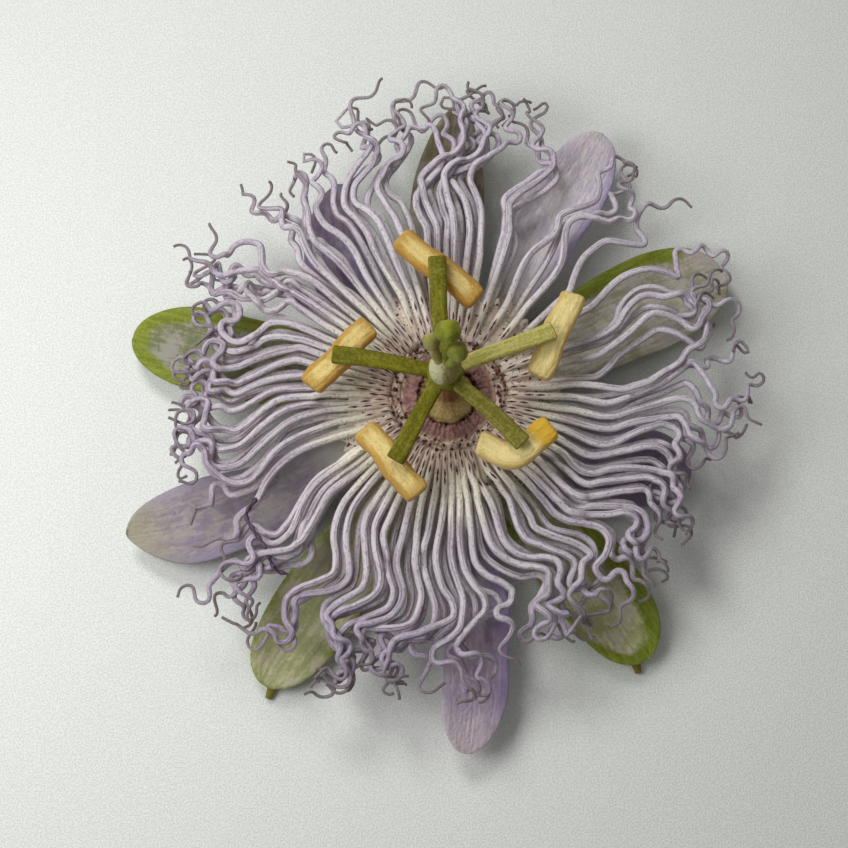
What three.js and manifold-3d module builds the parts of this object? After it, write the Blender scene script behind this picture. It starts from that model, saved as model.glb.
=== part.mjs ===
// A passion flower picked without its stalk, open and lying on its back. Its parts stack on a
// shallow cup: five sepals and five petals around the wall, then two rows of long wavy
// filaments, a fringe of short ones and a pleated lid on the rim, and through the middle the
// column with five stamens, the ovary and three styles. Millimetres and degrees, +Z up, with the
// origin on the stalk scar that the flower rests on. Angles run counter-clockwise from +X.
import * as THREE from 'three';
import { mergeVertices } from 'three/addons/utils/BufferGeometryUtils.js';
import Module from 'manifold-3d';

const wasm = await Module();
wasm.setup();

const UP = new THREE.Vector3(0, 0, 1);

// Cup.
const SCAR_RADIUS = 1.6;
const CUP_RADIUS = 7.9;
const CUP_RIM = 5.2;
const CUP_MOUTH_RADIUS = 4.4;
const CUP_FLOOR = 2.6;

// Gap between a part and the part that carries it.
const SEAT = 0.3;

// Sepals and petals: where each blade's axis leaves the cup, where its tip lies as
// [degrees, radius, height], its half width, the share of its length where it is broadest, two
// powers that round its tip, how far its edges turn up, and for a sepal where the point of its
// awn touches down as [degrees, radius]. A petal also waves, and may bow sideways by its sway.
const BLADE_THICKNESS = 0.9;
const BLADE_ROWS = 10;
const BLADE_COLUMNS = 4;
const BLADE_FOOT_REACH = -0.15;
const BLADE_TIP_SHARE = 0.006;
const SEPAL_ROOT = { radius: 8.0, height: 3.4 };
const PETAL_ROOT = { radius: 8.25, height: 4.6 };
const SEPAL_FOOT_SHARE = 0.62;
const PETAL_FOOT_SHARE = 0.45;
const HORN_HALF_WIDTHS = [0.8, 0.5, 0.16];
const HORN_HALF_HEIGHTS = [0.5, 0.4, 0.12];
const SEPALS = [
  {
    root: 28, tip: [26.8, 35.6, 2.6], bend: 1.2, half: 5.6, broad: 0.6, round: [2.8, 0.5],
    edge: 1.3, awn: [26.6, 36.2],
  },
  {
    root: 91, tip: [87.6, 36.4, 4.0], bend: 1.4, half: 4.3, broad: 0.5, round: [1.8, 0.6],
    edge: 1.0, awn: [88.2, 36.0],
  },
  {
    root: 166.5, tip: [166.8, 36.9, 2.0], bend: 0.9, half: 5.0, broad: 0.6, round: [2.7, 0.5],
    edge: 1.1, awn: [167.0, 36.0],
  },
  {
    root: 238, tip: [237.3, 37.4, 1.6], bend: 1.0, half: 4.6, broad: 0.66, round: [2.8, 0.5],
    edge: 0.9, awn: [238.9, 38.3],
  },
  {
    root: 309, tip: [307.2, 36.0, 1.7], bend: 0.9, half: 4.9, broad: 0.64, round: [2.8, 0.5],
    edge: 1.2, awn: [305.0, 36.6],
  },
];
const PETALS = [
  {
    root: 58, tip: [60.4, 36.9, 4.6], bend: 4.9, half: 4.2, broad: 0.62, round: [2.8, 0.5],
    edge: 0.5, wave: 0.3, sway: 0.8,
  },
  {
    root: 133, tip: [116.0, 29.0, 4.4], bend: 4.6, half: 3.9, broad: 0.62, round: [3.2, 0.5],
    edge: -1.2, wave: 0.2,
  },
  {
    root: 211, tip: [202.8, 38.7, 2.4], bend: 4.7, half: 4.8, broad: 0.72, round: [2.2, 0.7],
    edge: 0.4, wave: 0.35,
  },
  {
    root: 275, tip: [273.0, 39.1, 3.2], bend: 4.8, half: 4.0, broad: 0.72, round: [2.2, 0.5],
    edge: 0.5, wave: 0.3,
  },
  {
    root: 341, tip: [342.5, 28.4, 2.6], bend: 4.8, half: 4.5, broad: 0.62, round: [3.2, 0.5],
    edge: -0.8, wave: 0.3,
  },
];

// Long filaments: two rows, the outer one below and the inner one above.
const ROW_COUNT = 36;
const ROW_SEGMENTS = 13;
const FILAMENT_RADIUS = 0.5;
const FILAMENT_TIP_RADIUS = 0.34;
const OUTER_ROW = { ring: [7.3, 7.85], top: 6.5, level: 6.5, first: 0 };
const INNER_ROW = { ring: [6.45, 7.0], top: 7.6, level: 8.0, first: 0.5 };

// The rows rise by CROWN_LIFT between these two radii, and each filament sways up and down and
// drifts in or out a little of its own. GUIDE_PULL is how far it has closed on its guide there.
const CROWN_SPAN = [8, 34];
const CROWN_LIFT = 1.2;
const CROWN_SWAY = 0.15;
const CROWN_DRIFT = 0.5;
const GUIDE_SPAN = [9, 24];
const GUIDE_PULL = 0.75;

// Short fringe inside the long rows, and the pleated lid inside the fringe.
const FRINGE_RING = [5.3, 6.15];
const FRINGE_RING_TOP = 6.4;
const FRINGE_COUNT = 30;
const FRINGE_ROWS = [
  { from: 5.55, to: 5.3, height: 8.0, shift: 0 },
  { from: 5.9, to: 6.15, height: 8.7, shift: 0.5 },
];
const FRINGE_RADII = [0.24, 0.2];
const LID_FOOT = [4.45, 5.0];
const LID_LIP = 3.45;
const LID_TOP = 6.7;
const LID_PLEATS = 24;

// Column, stamens, ovary and styles. Places are [x, y, z].
const COLUMN_LEAN = [-0.42, 0.3];
const HUB_HEIGHT = 14.9;
const COLUMN_SIDES = 12;
const STAMEN_TIPS = [
  [-1.24, 13.5, 14.6],
  [-12.5, 2.4, 14.6],
  [-5.75, -9.35, 14.6],
  [7.9, -7.5, 14.6],
  [11.3, 5.15, 14.6],
];
const STAMEN_WIDTHS = [1.5, 2.05];
const STAMEN_THICKNESS = 0.9;
const ANTHERS = [
  [[-5.4, 16.4, 12.5], [-1.1, 12.85, 12.9], [3.25, 9.25, 12.5]],
  [[-8.5, 6.3, 12.5], [-11.7, 2.8, 12.9], [-15.0, -0.7, 12.5]],
  [[-9.1, -5.3, 12.5], [-6.2, -9.0, 12.9], [-3.25, -12.7, 12.5]],
  [[3.1, -7.0, 12.7], [7.3, -8.2, 12.9], [11.0, -5.1, 13.2]],
  [[13.7, 9.9, 12.5], [11.65, 5.2, 12.9], [9.6, 0.5, 12.5]],
];
const ANTHER_WIDTH = 2.7;
const ANTHER_THICKNESS = 1.8;
const OVARY = { centre: [-0.5, -0.2], bottom: 16.1, top: 20.1, radius: 1.7, sides: 14 };
const STYLE_RADIUS = 0.4;
const STYLES = [
  { foot: [-1.1, 0.2, 20.35], bend: [-1.6, 0.8, 21.1], knob: [-1.9, 1.5, 22.0], size: [0.95, 1.25] },
  { foot: [-0.25, 0.55, 20.5], bend: [-0.2, 1.2, 22.2], knob: [-0.15, 1.85, 24.3], size: [1.35, 1.15] },
  { foot: [0.15, -0.35, 20.35], bend: [0.6, -0.1, 21.1], knob: [1.1, 0.35, 21.9], size: [1.1, 1.15] },
];

// Finishes as [colour, roughness].
const CUP_GREEN = [0x9aa65c, 0.6];
const SEPAL_GREEN = [0x9aab5e, 0.6];
const PETAL_LAVENDER = [0xa99dc0, 0.65];
const OUTER_LILAC = [0xbdb2c8, 0.6];
const INNER_LILAC = [0xcdc4d2, 0.6];
const FRINGE_PURPLE = [0x7a4f66, 0.6];
const LID_MAUVE = [0xa07d8e, 0.6];
const COLUMN_OLIVE = [0x7d8a2f, 0.5];
const POLLEN_YELLOW = [0xdcb765, 0.75];
const OVARY_PALE = [0xb9bf98, 0.55];
const STIGMA_GREEN = [0x83964a, 0.55];

// Courses of the guide filaments from the crown out to their tips, one to a line, each point
// given as degrees,radius. Every filament follows the guide that is nearest to its root.
const GUIDES = `
3,10 3,15 1,17 1,21 4,23.5 7,26 10,27 11,28.5 14,29.5 18,30 19,32 17,33.7 13,32.8 11.5,31.5
8,13 7,17 12,19 17,23 17.5,25 14,27 10.5,29 14,30 19,30.5 22,31 24,32.5 22,33.5
20,14 19.5,19 23,22 24.5,24 22,26.5 19,28 19,29.5 21,30 24,29.5 26,31 25,33
22,15 21,18 25,21 28,22 29,25 25,28 22,29.5 19,29 17,28 15,29 15,31
31,17 31,19 34,22.5 33.5,25 31,27.5 28,28.5 27.5,29.5 32,30 31,32 29,34 27,35 24.5,34.5 21,33
41,18 45,21 46,23 45,25.5 42,26.5 39,28 38,29 40,29 43,29.5 45,31 43,33 42,35 39,36
48,13 48,18 50,20 55,23 54,25 48,26.5 46,28 45,30 50,31 51,33 50,34
57,12 60,18 57,22 58,24 53,28 55,30 56,32 55,34 53,35 51,33
66,12 66,18 68,20 71,22 69,24 66,26 64,28 66,29.5 69,29.5 71,31 74,33 76,34 78,34.5
69,13 71,18 72,22 74,24 71,26 69,28 66,30 68,31 71,32.5 73,34.5 71.5,36.5 74,36
77,16 80,21 83,24 84,26 80,28 77,30 75,31 77,32 79,35 77,36 75,35.5
82,15 83,20 85.5,23 90,25.5 84,27 81,30 84,33 85,35.5 82,36 80,34.5 79.5,32
88,16 88.5,20 90,23 91,25 88,27 85,27.5 81.5,30 83,33 84.5,36 86,37.5
90,20 92,22 92,24 88,26.5 86.5,29 87,33 87,36 83,36.5
94,19 96,22 97,25 93,27 87,28.5 86.5,31 88,35 91,36 94,34.5 95,32
97,19 99.5,21.5 99,23 96,24.5 91,27 92,30 94,32 98,31 101,31 102.5,33 106,33.5
102,20 103,23 106,25 104,27 100,29 98,31 101,34 98,36 94,37.5 90,37.5
110,22 112,24 107,27 104,28 101,28.5 101,31 104,31.5 107,31
110,12 111.5,18 112,22 115,24.5 113,26.5 108,28 106,30 106.5,32 109,33.5 112,33 112,31 110.5,31
115,12 116.5,17 116,21 118.5,24 117,26 112,28.5 108.5,29 106,31 107,33 109,34 108,36 104,37 101,38
121,10 120,15 119,19 119.5,23 121,25 117.5,28 117,31 115,33 113,32
129,11 128.5,16 127,20 129,22.5 131,24 127,27 124,29 122.5,31 124,32 127,29
131,13 131,19 131,23 128,26 125,28.5 123,31 122.5,32 124,32.5
131,12 132,16 131,21 128,24.5 131,27.5 134.5,29.5 134.5,31.5 133.5,33 134,34.5
136,14 137,18 138,22 135,24 132,27 130,29 128,30
140,15 140.5,20 143,23 147,24 144,25.5 141,27 144,29.5 148,29 149,30.5 147,31.5 143,33
144,15 145,20 145,22 149,22 153,23 154,25 155.5,27 155,29 157,30 156,31.5 155,32.5
147,14 147,20 146,25 148,26.5 150.5,28 152.5,30 151.5,32 150,33.5 151.5,35
151,16 150,19 149,20.5 152,21 155,22 154.5,24 151,25.5 149.5,24
154,16 155,20 156,21 161,22 165,24 163,25.5 159,25 157,27 158,29 161,28.5
158,17 159,20 163,22 168,23 169,25 165,26.5 161,26 159.5,27.5 161,29.5 165,28.5
162,17 165,20 170,23 172,25 168,26 166,27.5 169,28 172,27
165,17 169,19 174,22 177,24 175,26 171,27 172,29 175,28.5
172,17 174,19 178,22 179.5,24 176,26.5 174,28 176,29.5 179,28.5
176,14 178,19 181,22 182.5,24 180,26 177,27 175.5,28.5 178,29.5
181,12 181,16 182,19 188,22 190,24 188,26 183,27 181,28 182.5,29.5 187,29 189,30.5
184,14 185,18 189,21 192.5,24 190,27 188.5,28 185,28 182,29 184,30.5
187,13 189,17 194,21 198,24 198,26 192,27 189,28 190,30 192,31.5
191,14 193,18 197,20 202,23 203,25.5 199,27.5 194,27.5 190,28 191,30 195,31 198,30
196,13 198,17 200,20 205,24 203.5,26 199,27.5 193,28 194,30 199,29.5 200,31
203,14 203,17 205,20 208,22.5 211,24.5 212,27 215,28.5 214,30.5 212,32.5
214,13 214,17 217,20 220,23 220,25 216,25.5 215,27 215,29 218,31.5
217,14 218,18 222,21 226,24 225,26 221,27 221,29 224,31 226,33 229,33 230,31
222,15 222,18 226,21.5 231,24 228,26 225.5,28 224.5,30 228,32 229,34
222,13 222,17 226,22 226,25 222,27 222,30 219,30 219,32 222,34 220,35.5 218,34.5 218,37
227,13 228,17 232,20 237,22 239,24 236,26 233,28 233.5,30 238,32 236,33.5 232,33 230,35 226,34.5
231,13 232,17 236,20 241,22 243,24 240,26 235,28 236,30 239,32 237,33.5 234,33
235,13 236,17 240,20 244,23 244,24.5 241,26.5 242,28.5 246,29.5 250,31.5 249,33.5 245,34
240,13 241,17 246,20 250,23 249,25 245,27 243,28.5 247,30 250,31 250,33 246,34.5
243,14 245,18 252,22 252.5,24 248,26 244,28 245,30 248,31 251,32.5 249,34 248,36 245.5,37
246,14 247,18 252,21 255.5,24 252,26 248,28 246.5,29.5 249,31 252,32.5 251,34.5 248,35
252,13 253,17 254,20 258,23 257,25 254,26.5 250,27.5 251,29.5 254.5,30 253,32
257,13 258,17 260,20 263,23 262,25 260,26.5 256,27 252,28 252,29.5 255.5,31 258,33 261,32
263,11 262,16 261.5,19 265,22 266.5,24.5 265,27 261,28 258,29 258,31 261,31.5 260,34
268,12 267,15 266,19 268,22 271.5,24.5 268,26 264,27 260,28 257,30 259,32.5 262.5,32
272,11 271,16 270.5,19 273,22 274,24 272,27 268,28 265.5,29 268,30 272,30.5 273,32 274.5,34
275,12 273,16 273,19 276,22 276.5,24.5 274,27 270,28.5 273,30 275,32 274,34 271.5,34
278,11 276,15 275.5,20 278,22 284,24 279,25 276,26 272,27.5 275,28.7 279,30.5 278.5,32.5 275,33.5
283,11 282,15 281.5,18 285,20 291,22 297,23 292,25 287,28 289,28.5 292,29
286,11 287,16 289,19 294,21 300,22 300,23.5 296,25 294,27 293,29 295,29.5 297,30.5 300,30.5
290,10 294,13 291,17 293,19 298,21 302,22 301.5,24 298,26 296,27.5 299,28 301,30
296,10 299,13 296,17 297,19 300,20 304,22 306,23 303,24.5 301,26 303,27 306,27.5 306,30
302,11 302,16 301,18 305,20 309,22 310,24 305,24.5 301,26 299,28 299,29.5
310,11 310,16 310,19 315,21.5 317,23.5 313,25 308,25.5 309,27 313,28 310,30 306,31 304,31.5
315,11 314,16 314,19 321,22 325,24.5 320,25.5 318,27 320,28.5 322,29.5 319,30.5
318,12 316,17 318,19.5 325,23 327,25 323,27 319,25.5 316.5,27 317,29 315,31
321,13 318,18 323,20 330,22.5 332,24.5 330,26 326,27 324,28.5
327,14 324,18 329,20 335,23 336,25 332,26.5 330,28 329,30
331,13 328,17.5 333,20 338,24 338,26 335,27.5 332,28 331,29 329,31 327,30
336,13 334,17 340,20 344,23 343,25 340,26 335,27.5 331.5,27 332,25 336,24.5
341,13 340,18 347,21.5 351,24.5 347,26 341,26 338.5,27 338,28.5
346,13 345.5,18 350,21 353.5,25 351,26.5 347,28 346.5,30 349,31.5 352,32
351,14 350,18 354,21 358,25 357,27 353,28 352,30 354,31.5 357,32.5 353.5,34.5
357,14 355,18 360,21 364,25 367,27 361,29 357,30 360,33 363,35 364,33
`.trim().split('\n').map((line) => line.split(' ').map((point) => point.split(',').map(Number)));

function at(degrees, radius, height) {
  const angle = THREE.MathUtils.degToRad(degrees);
  return new THREE.Vector3(radius * Math.cos(angle), radius * Math.sin(angle), height);
}

function place([x, y, z]) {
  return new THREE.Vector3(x, y, z);
}

// A number from 0 to 1 that is always the same for the same item and trait.
function draw(item, trait) {
  const mixed = Math.sin(item * 12.9898 + trait * 78.233) * 43758.5453;
  return mixed - Math.floor(mixed);
}

function turnBetween(from, to) {
  return THREE.MathUtils.euclideanModulo(to - from + 180, 360) - 180;
}

function surface(points, faces) {
  const geometry = new THREE.BufferGeometry();
  const positions = points.flatMap((point) => point.toArray());
  geometry.setAttribute('position', new THREE.Float32BufferAttribute(positions, 3));
  geometry.setIndex(faces);
  return geometry;
}

// Closed skin over rings of points, each ring turning right-handed about the way it travels.
function loft(rings) {
  const sides = rings[0].length;
  const faces = [];
  for (let ring = 0; ring < rings.length - 1; ring += 1) {
    for (let side = 0; side < sides; side += 1) {
      const a = ring * sides + side;
      const b = ring * sides + ((side + 1) % sides);
      faces.push(a, b, b + sides, a, b + sides, a + sides);
    }
  }
  const last = (rings.length - 1) * sides;
  for (let side = 1; side < sides - 1; side += 1) {
    faces.push(0, side + 1, side);
    faces.push(last, last + side, last + side + 1);
  }
  return surface(rings.flat(), faces);
}

// Skin of a round or flattened strand along its points, with a half width and a half height at
// each. One corner of a three-sided strand points up.
function strand(points, halfWidths, halfHeights, sides, reference = UP) {
  const rings = points.map((point, index) => {
    const before = points[Math.max(index - 1, 0)];
    const after = points[Math.min(index + 1, points.length - 1)];
    const travel = after.clone().sub(before).normalize();
    const across = new THREE.Vector3().crossVectors(travel, reference).normalize();
    const down = new THREE.Vector3().crossVectors(travel, across);
    return Array.from({ length: sides }, (_, side) => {
      const angle = 2 * Math.PI * (side / sides - 0.25);
      const corner = point.clone();
      corner.addScaledVector(across, halfWidths[index] * Math.cos(angle));
      return corner.addScaledVector(down, halfHeights[index] * Math.sin(angle));
    });
  });
  return loft(rings);
}

// Points spaced along a smooth curve through a few places, closer together towards its end
// where crowding is above 1.
function along(places, count, crowding = 1) {
  const curve = new THREE.CatmullRomCurve3(places, false, 'centripetal');
  return Array.from({ length: count }, (_, index) => {
    const share = 1 - (1 - index / (count - 1)) ** crowding;
    return curve.getPointAt(share);
  });
}

// Thin closed sheet with its middle at middle(u, v), its rows closing up towards u = 1 and both
// faces split into triangles alike.
function sheet(middle, rows, columns, thickness) {
  const tops = [];
  const bottoms = [];
  const step = 1e-3;
  for (let row = 0; row <= rows; row += 1) {
    for (let column = 0; column <= columns; column += 1) {
      const u = Math.sin((0.5 * Math.PI * row) / rows);
      const v = (2 * column) / columns - 1;
      const lengthways = middle(u + step, v).sub(middle(u - step, v));
      const sideways = middle(u, v + step).sub(middle(u, v - step));
      const normal = lengthways.cross(sideways).normalize();
      tops.push(middle(u, v).addScaledVector(normal, thickness / 2));
      bottoms.push(middle(u, v).addScaledVector(normal, -thickness / 2));
    }
  }
  const under = tops.length;
  const index = (row, column) => row * (columns + 1) + column;
  const faces = [];
  for (let row = 0; row < rows; row += 1) {
    for (let column = 0; column < columns; column += 1) {
      const a = index(row, column);
      const b = index(row + 1, column);
      const c = index(row + 1, column + 1);
      const d = index(row, column + 1);
      faces.push(a, b, c, a, c, d);
      faces.push(under + a, under + c, under + b, under + a, under + d, under + c);
    }
  }
  const rim = [];
  for (let row = 0; row < rows; row += 1) rim.push(index(row, 0));
  for (let column = 0; column < columns; column += 1) rim.push(index(rows, column));
  for (let row = rows; row > 0; row -= 1) rim.push(index(row, columns));
  for (let column = columns; column > 0; column -= 1) rim.push(index(0, column));
  rim.forEach((from, position) => {
    const to = rim[(position + 1) % rim.length];
    faces.push(from, under + from, under + to, from, under + to, to);
  });
  return surface([...tops, ...bottoms], faces);
}

// Solid turned about the flower's axis from [radius, height] corners that close on themselves
// or start and end on the axis, taken counter-clockwise.
function turned(profile, segments) {
  const corners = profile.map(([radius, height]) => new THREE.Vector2(radius, height));
  const geometry = new THREE.LatheGeometry(corners, segments);
  geometry.rotateX(Math.PI / 2);
  return geometry;
}

function collar([inner, outer], bottom, top, segments) {
  return turned([[inner, bottom], [outer, bottom], [outer, top], [inner, top], [inner, bottom]], segments);
}

function welded(geometry) {
  const bare = geometry.clone();
  bare.deleteAttribute('normal');
  bare.deleteAttribute('uv');
  return mergeVertices(bare, 1e-5);
}

function solid(geometry) {
  const merged = welded(geometry);
  const mesh = new wasm.Mesh({
    numProp: 3,
    vertProperties: new Float32Array(merged.attributes.position.array),
    triVerts: new Uint32Array(merged.index.array),
  });
  return new wasm.Manifold(mesh);
}

function fused(geometries) {
  const joined = geometries.map(solid).reduce((whole, next) => whole.add(next));
  const mesh = joined.getMesh();
  const geometry = new THREE.BufferGeometry();
  geometry.setAttribute('position', new THREE.BufferAttribute(mesh.vertProperties, 3));
  geometry.setIndex(new THREE.BufferAttribute(mesh.triVerts, 1));
  return geometry;
}

const flower = new THREE.Group();

function add(name, geometry, [color, roughness]) {
  const material = new THREE.MeshStandardMaterial({ color, roughness, metalness: 0 });
  const mesh = new THREE.Mesh(geometry, material);
  mesh.name = name;
  flower.add(mesh);
}

// Cup: a thick shallow bowl with the round scar of the stalk beneath and a flat rim.
function floralCup() {
  const profile = [
    [0, 0],
    [SCAR_RADIUS, 0],
    [2.6, 0.3],
    [4.8, 1.1],
    [6.7, 2.4],
    [7.6, 3.7],
    [CUP_RADIUS, CUP_RIM],
    [CUP_MOUTH_RADIUS, CUP_RIM],
    [4.1, 3.4],
    [3.3, CUP_FLOOR],
    [0, CUP_FLOOR],
  ];
  return turned(profile, 30);
}

// Half width of a blade: narrow at its foot, broadest past the middle, closing at its tip.
function bladeHalf(share, { half, broad, round: [bluntness, fullness] }, foot) {
  const swell = foot + (1 - foot) * THREE.MathUtils.smoothstep(share, BLADE_FOOT_REACH, broad);
  const past = Math.max(0, (share - broad) / (1 - broad));
  return half * swell * Math.max(1 - past ** bluntness, BLADE_TIP_SHARE) ** fullness;
}

// Middle of a blade from its foot on the cup to its tip.
function bladeMiddle(blade, foot, footShare) {
  const [tipAngle, tipRadius, tipHeight] = blade.tip;
  return (u, v) => {
    const share = THREE.MathUtils.clamp(u, 0, 1);
    const beyond = u - share;
    const angle = blade.root + turnBetween(blade.root, tipAngle) * share ** 2;
    const bow = (blade.sway ?? 0) * Math.sin(Math.PI * share);
    const radius = THREE.MathUtils.lerp(foot.radius, tipRadius, share) + beyond;
    const footRise = foot.height * (1 - share) ** 2;
    const rise = footRise + 2 * blade.bend * share * (1 - share) + tipHeight * share ** 2;
    const half = bladeHalf(share, blade, footShare);
    const grown = THREE.MathUtils.smoothstep(share, 0, 0.5);
    const turnUp = blade.edge * v * v * grown * (half / blade.half);
    const ripple = (blade.wave ?? 0) * v * Math.sin(7 * share + blade.root) * grown;
    const side = at(angle + 90, v * half + bow, 0);
    return at(angle, radius, rise + turnUp + ripple).add(side);
  };
}

// Sepal: a boat-shaped blade with a horn behind its tip, which comes down to the ground.
function sepal(blade) {
  const middle = bladeMiddle(blade, SEPAL_ROOT, SEPAL_FOOT_SHARE);
  const keel = middle(0.86, 0);
  const [awnAngle, awnRadius] = blade.awn;
  const ground = at(awnAngle, awnRadius, 0);
  const shoulder = keel.clone().lerp(ground, 0.55).setZ(keel.z * 0.45);
  const point = ground.setZ(HORN_HALF_HEIGHTS[2]);
  const horn = strand([keel, shoulder, point], HORN_HALF_WIDTHS, HORN_HALF_HEIGHTS, 6);
  return fused([sheet(middle, BLADE_ROWS, BLADE_COLUMNS, BLADE_THICKNESS), horn]);
}

function petal(blade) {
  const middle = bladeMiddle(blade, PETAL_ROOT, PETAL_FOOT_SHARE);
  return sheet(middle, BLADE_ROWS, BLADE_COLUMNS, BLADE_THICKNESS);
}

// Places that a filament passes: up out of its ring, then along the guide nearest to its root,
// keeping its distance from that guide near the ring and closing on it further out.
function filamentCourse(rootAngle, item, row) {
  const distance = (guide) => Math.abs(turnBetween(guide[0][0], rootAngle));
  const guide = GUIDES.reduce((best, next) => (distance(next) < distance(best) ? next : best));
  const apart = turnBetween(guide[0][0], rootAngle);
  const [inner, outer] = row.ring;
  const middle = (inner + outer) / 2;
  const places = [at(rootAngle, middle, row.top - 0.4), at(rootAngle, outer + 0.7, row.level - 0.1)];
  guide.forEach(([angle, radius]) => {
    const followed = THREE.MathUtils.smoothstep(radius, ...GUIDE_SPAN);
    const spanned = THREE.MathUtils.clamp(THREE.MathUtils.inverseLerp(...CROWN_SPAN, radius), 0, 1);
    const lift = CROWN_LIFT * Math.sin(Math.PI * spanned);
    const sway = CROWN_SWAY * Math.sin(radius + 2 * Math.PI * draw(item, 1));
    const drift = CROWN_DRIFT * (draw(item, 2) - 0.5) * followed;
    const bearing = angle + apart * (1 - GUIDE_PULL * followed);
    places.push(at(bearing, radius + drift, row.level + lift + sway));
  });
  return places;
}

// One row of long filaments standing on its ring.
function coronaRow(row) {
  const pieces = [collar(row.ring, CUP_RIM + SEAT, row.top, ROW_COUNT)];
  for (let item = 0; item < ROW_COUNT; item += 1) {
    const rootAngle = (360 * (item + row.first)) / ROW_COUNT;
    const points = along(filamentCourse(rootAngle, item, row), ROW_SEGMENTS + 1, 1.35);
    const radii = points.map((_, index) => {
      const share = THREE.MathUtils.smoothstep(index / ROW_SEGMENTS, 0.5, 1);
      return THREE.MathUtils.lerp(FILAMENT_RADIUS, FILAMENT_TIP_RADIUS, share);
    });
    pieces.push(strand(points, radii, radii, 3));
  }
  return fused(pieces);
}

// Fringe: a ring with two rows of short filaments standing on it.
function coronaFringe() {
  const bottom = CUP_RIM + SEAT;
  const pieces = [collar(FRINGE_RING, bottom, FRINGE_RING_TOP, FRINGE_COUNT)];
  FRINGE_ROWS.forEach(({ from, to, height, shift }) => {
    for (let item = 0; item < FRINGE_COUNT; item += 1) {
      const angle = (360 * (item + shift)) / FRINGE_COUNT;
      const outward = at(angle, 1, 0);
      const points = [at(angle, from, bottom + 0.4), at(angle, to, height)];
      pieces.push(strand(points, FRINGE_RADII, FRINGE_RADII, 3, outward));
    }
  });
  return fused(pieces);
}

// Pleated lid: a foot on the rim and a folded membrane that leans in to a free lip.
function operculum() {
  const bottom = CUP_RIM + SEAT;
  const [footInner, footOuter] = LID_FOOT;
  const segments = LID_PLEATS * 2;
  const rings = [
    { radius: footInner, height: bottom, fold: 0 },
    { radius: footOuter, height: bottom, fold: 0 },
    { radius: footOuter, height: 6.0, fold: 0.1 },
    { radius: 4.3, height: 6.5, fold: 0.25 },
    { radius: LID_LIP, height: LID_TOP, fold: 0.2 },
    { radius: LID_LIP, height: LID_TOP - 0.65, fold: 0.2 },
    { radius: 4.1, height: 5.85, fold: 0.15 },
  ];
  const points = [];
  const faces = [];
  for (let segment = 0; segment < segments; segment += 1) {
    const pleat = segment % 2 === 0 ? 0.5 : -0.5;
    const angle = (360 * segment) / segments;
    rings.forEach(({ radius, height, fold }) => points.push(at(angle, radius, height + pleat * fold)));
  }
  for (let segment = 0; segment < segments; segment += 1) {
    for (let corner = 0; corner < rings.length; corner += 1) {
      const next = (corner + 1) % rings.length;
      const a = segment * rings.length;
      const b = ((segment + 1) % segments) * rings.length;
      faces.push(a + corner, b + corner, b + next, a + corner, b + next, a + next);
    }
  }
  return surface(points, faces);
}

// Column: its foot spreads into a domed disc, its head carries five strap-shaped stamens.
function stamenColumn() {
  const [leanX, leanY] = COLUMN_LEAN;
  const stations = [
    [CUP_FLOOR + SEAT, 1.5],
    [4.5, 2.2],
    [5.2, 3.0],
    [5.7, 2.6],
    [6.3, 1.35],
    [8.0, 1.05],
    [13.0, 1.0],
    [HUB_HEIGHT - 0.7, 1.3],
    [HUB_HEIGHT - 0.2, 1.95],
    [HUB_HEIGHT + 0.5, 1.95],
    [HUB_HEIGHT + 0.8, 1.4],
  ];
  const shift = (height) => height / HUB_HEIGHT;
  const column = loft(stations.map(([height, radius]) => {
    const middle = new THREE.Vector3(leanX * shift(height), leanY * shift(height), 0);
    const corner = (_, side) => at((360 * side) / COLUMN_SIDES, radius, height).add(middle);
    return Array.from({ length: COLUMN_SIDES }, corner);
  }));
  const hub = new THREE.Vector3(leanX, leanY, HUB_HEIGHT);
  const straps = STAMEN_TIPS.map((tip) => {
    const points = along([hub, place(tip)], 5);
    const halfWidths = points.map((_, index) => THREE.MathUtils.lerp(...STAMEN_WIDTHS, index / 4) / 2);
    return strand(points, halfWidths, points.map(() => STAMEN_THICKNESS / 2), 8);
  });
  return fused([column, ...straps]);
}

// Anther: a long flattened sac with blunt ends, slung under the tip of its stamen.
function anther(places) {
  const points = along(places.map(place), 9);
  const swell = [0.62, 0.9, 1, 1, 1, 1, 1, 0.9, 0.62];
  const halfWidths = swell.map((share) => (share * ANTHER_WIDTH) / 2);
  const halfHeights = swell.map((share) => (share * ANTHER_THICKNESS) / 2);
  return strand(points, halfWidths, halfHeights, 8);
}

function ovary() {
  const { centre, bottom, top, radius, sides } = OVARY;
  const middle = new THREE.Vector3(...centre, 0);
  const stations = [
    [bottom, 0.72],
    [bottom + 0.7, 0.93],
    [(bottom + top) / 2, 1],
    [top - 0.9, 0.84],
    [top - 0.35, 0.55],
    [top, 0.2],
  ];
  return loft(stations.map(([height, share]) => {
    const corner = (_, side) => at((360 * side) / sides, radius * share, height).add(middle);
    return Array.from({ length: sides }, corner);
  }));
}

// Style: a short bent stalk that ends in the rounded knob of the stigma.
function style({ foot, bend, knob, size }) {
  const points = along([place(foot), place(bend), place(knob)], 5);
  const radii = points.map(() => STYLE_RADIUS);
  const stalk = strand(points, radii, radii, 6, new THREE.Vector3(0, 1, 0));
  const [halfWidth, halfHeight] = size;
  const stigma = new THREE.SphereGeometry(1, 10, 7);
  stigma.rotateX(Math.PI / 2);
  stigma.scale(halfWidth, halfWidth, halfHeight);
  stigma.translate(...knob);
  return fused([stalk, stigma]);
}

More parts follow.
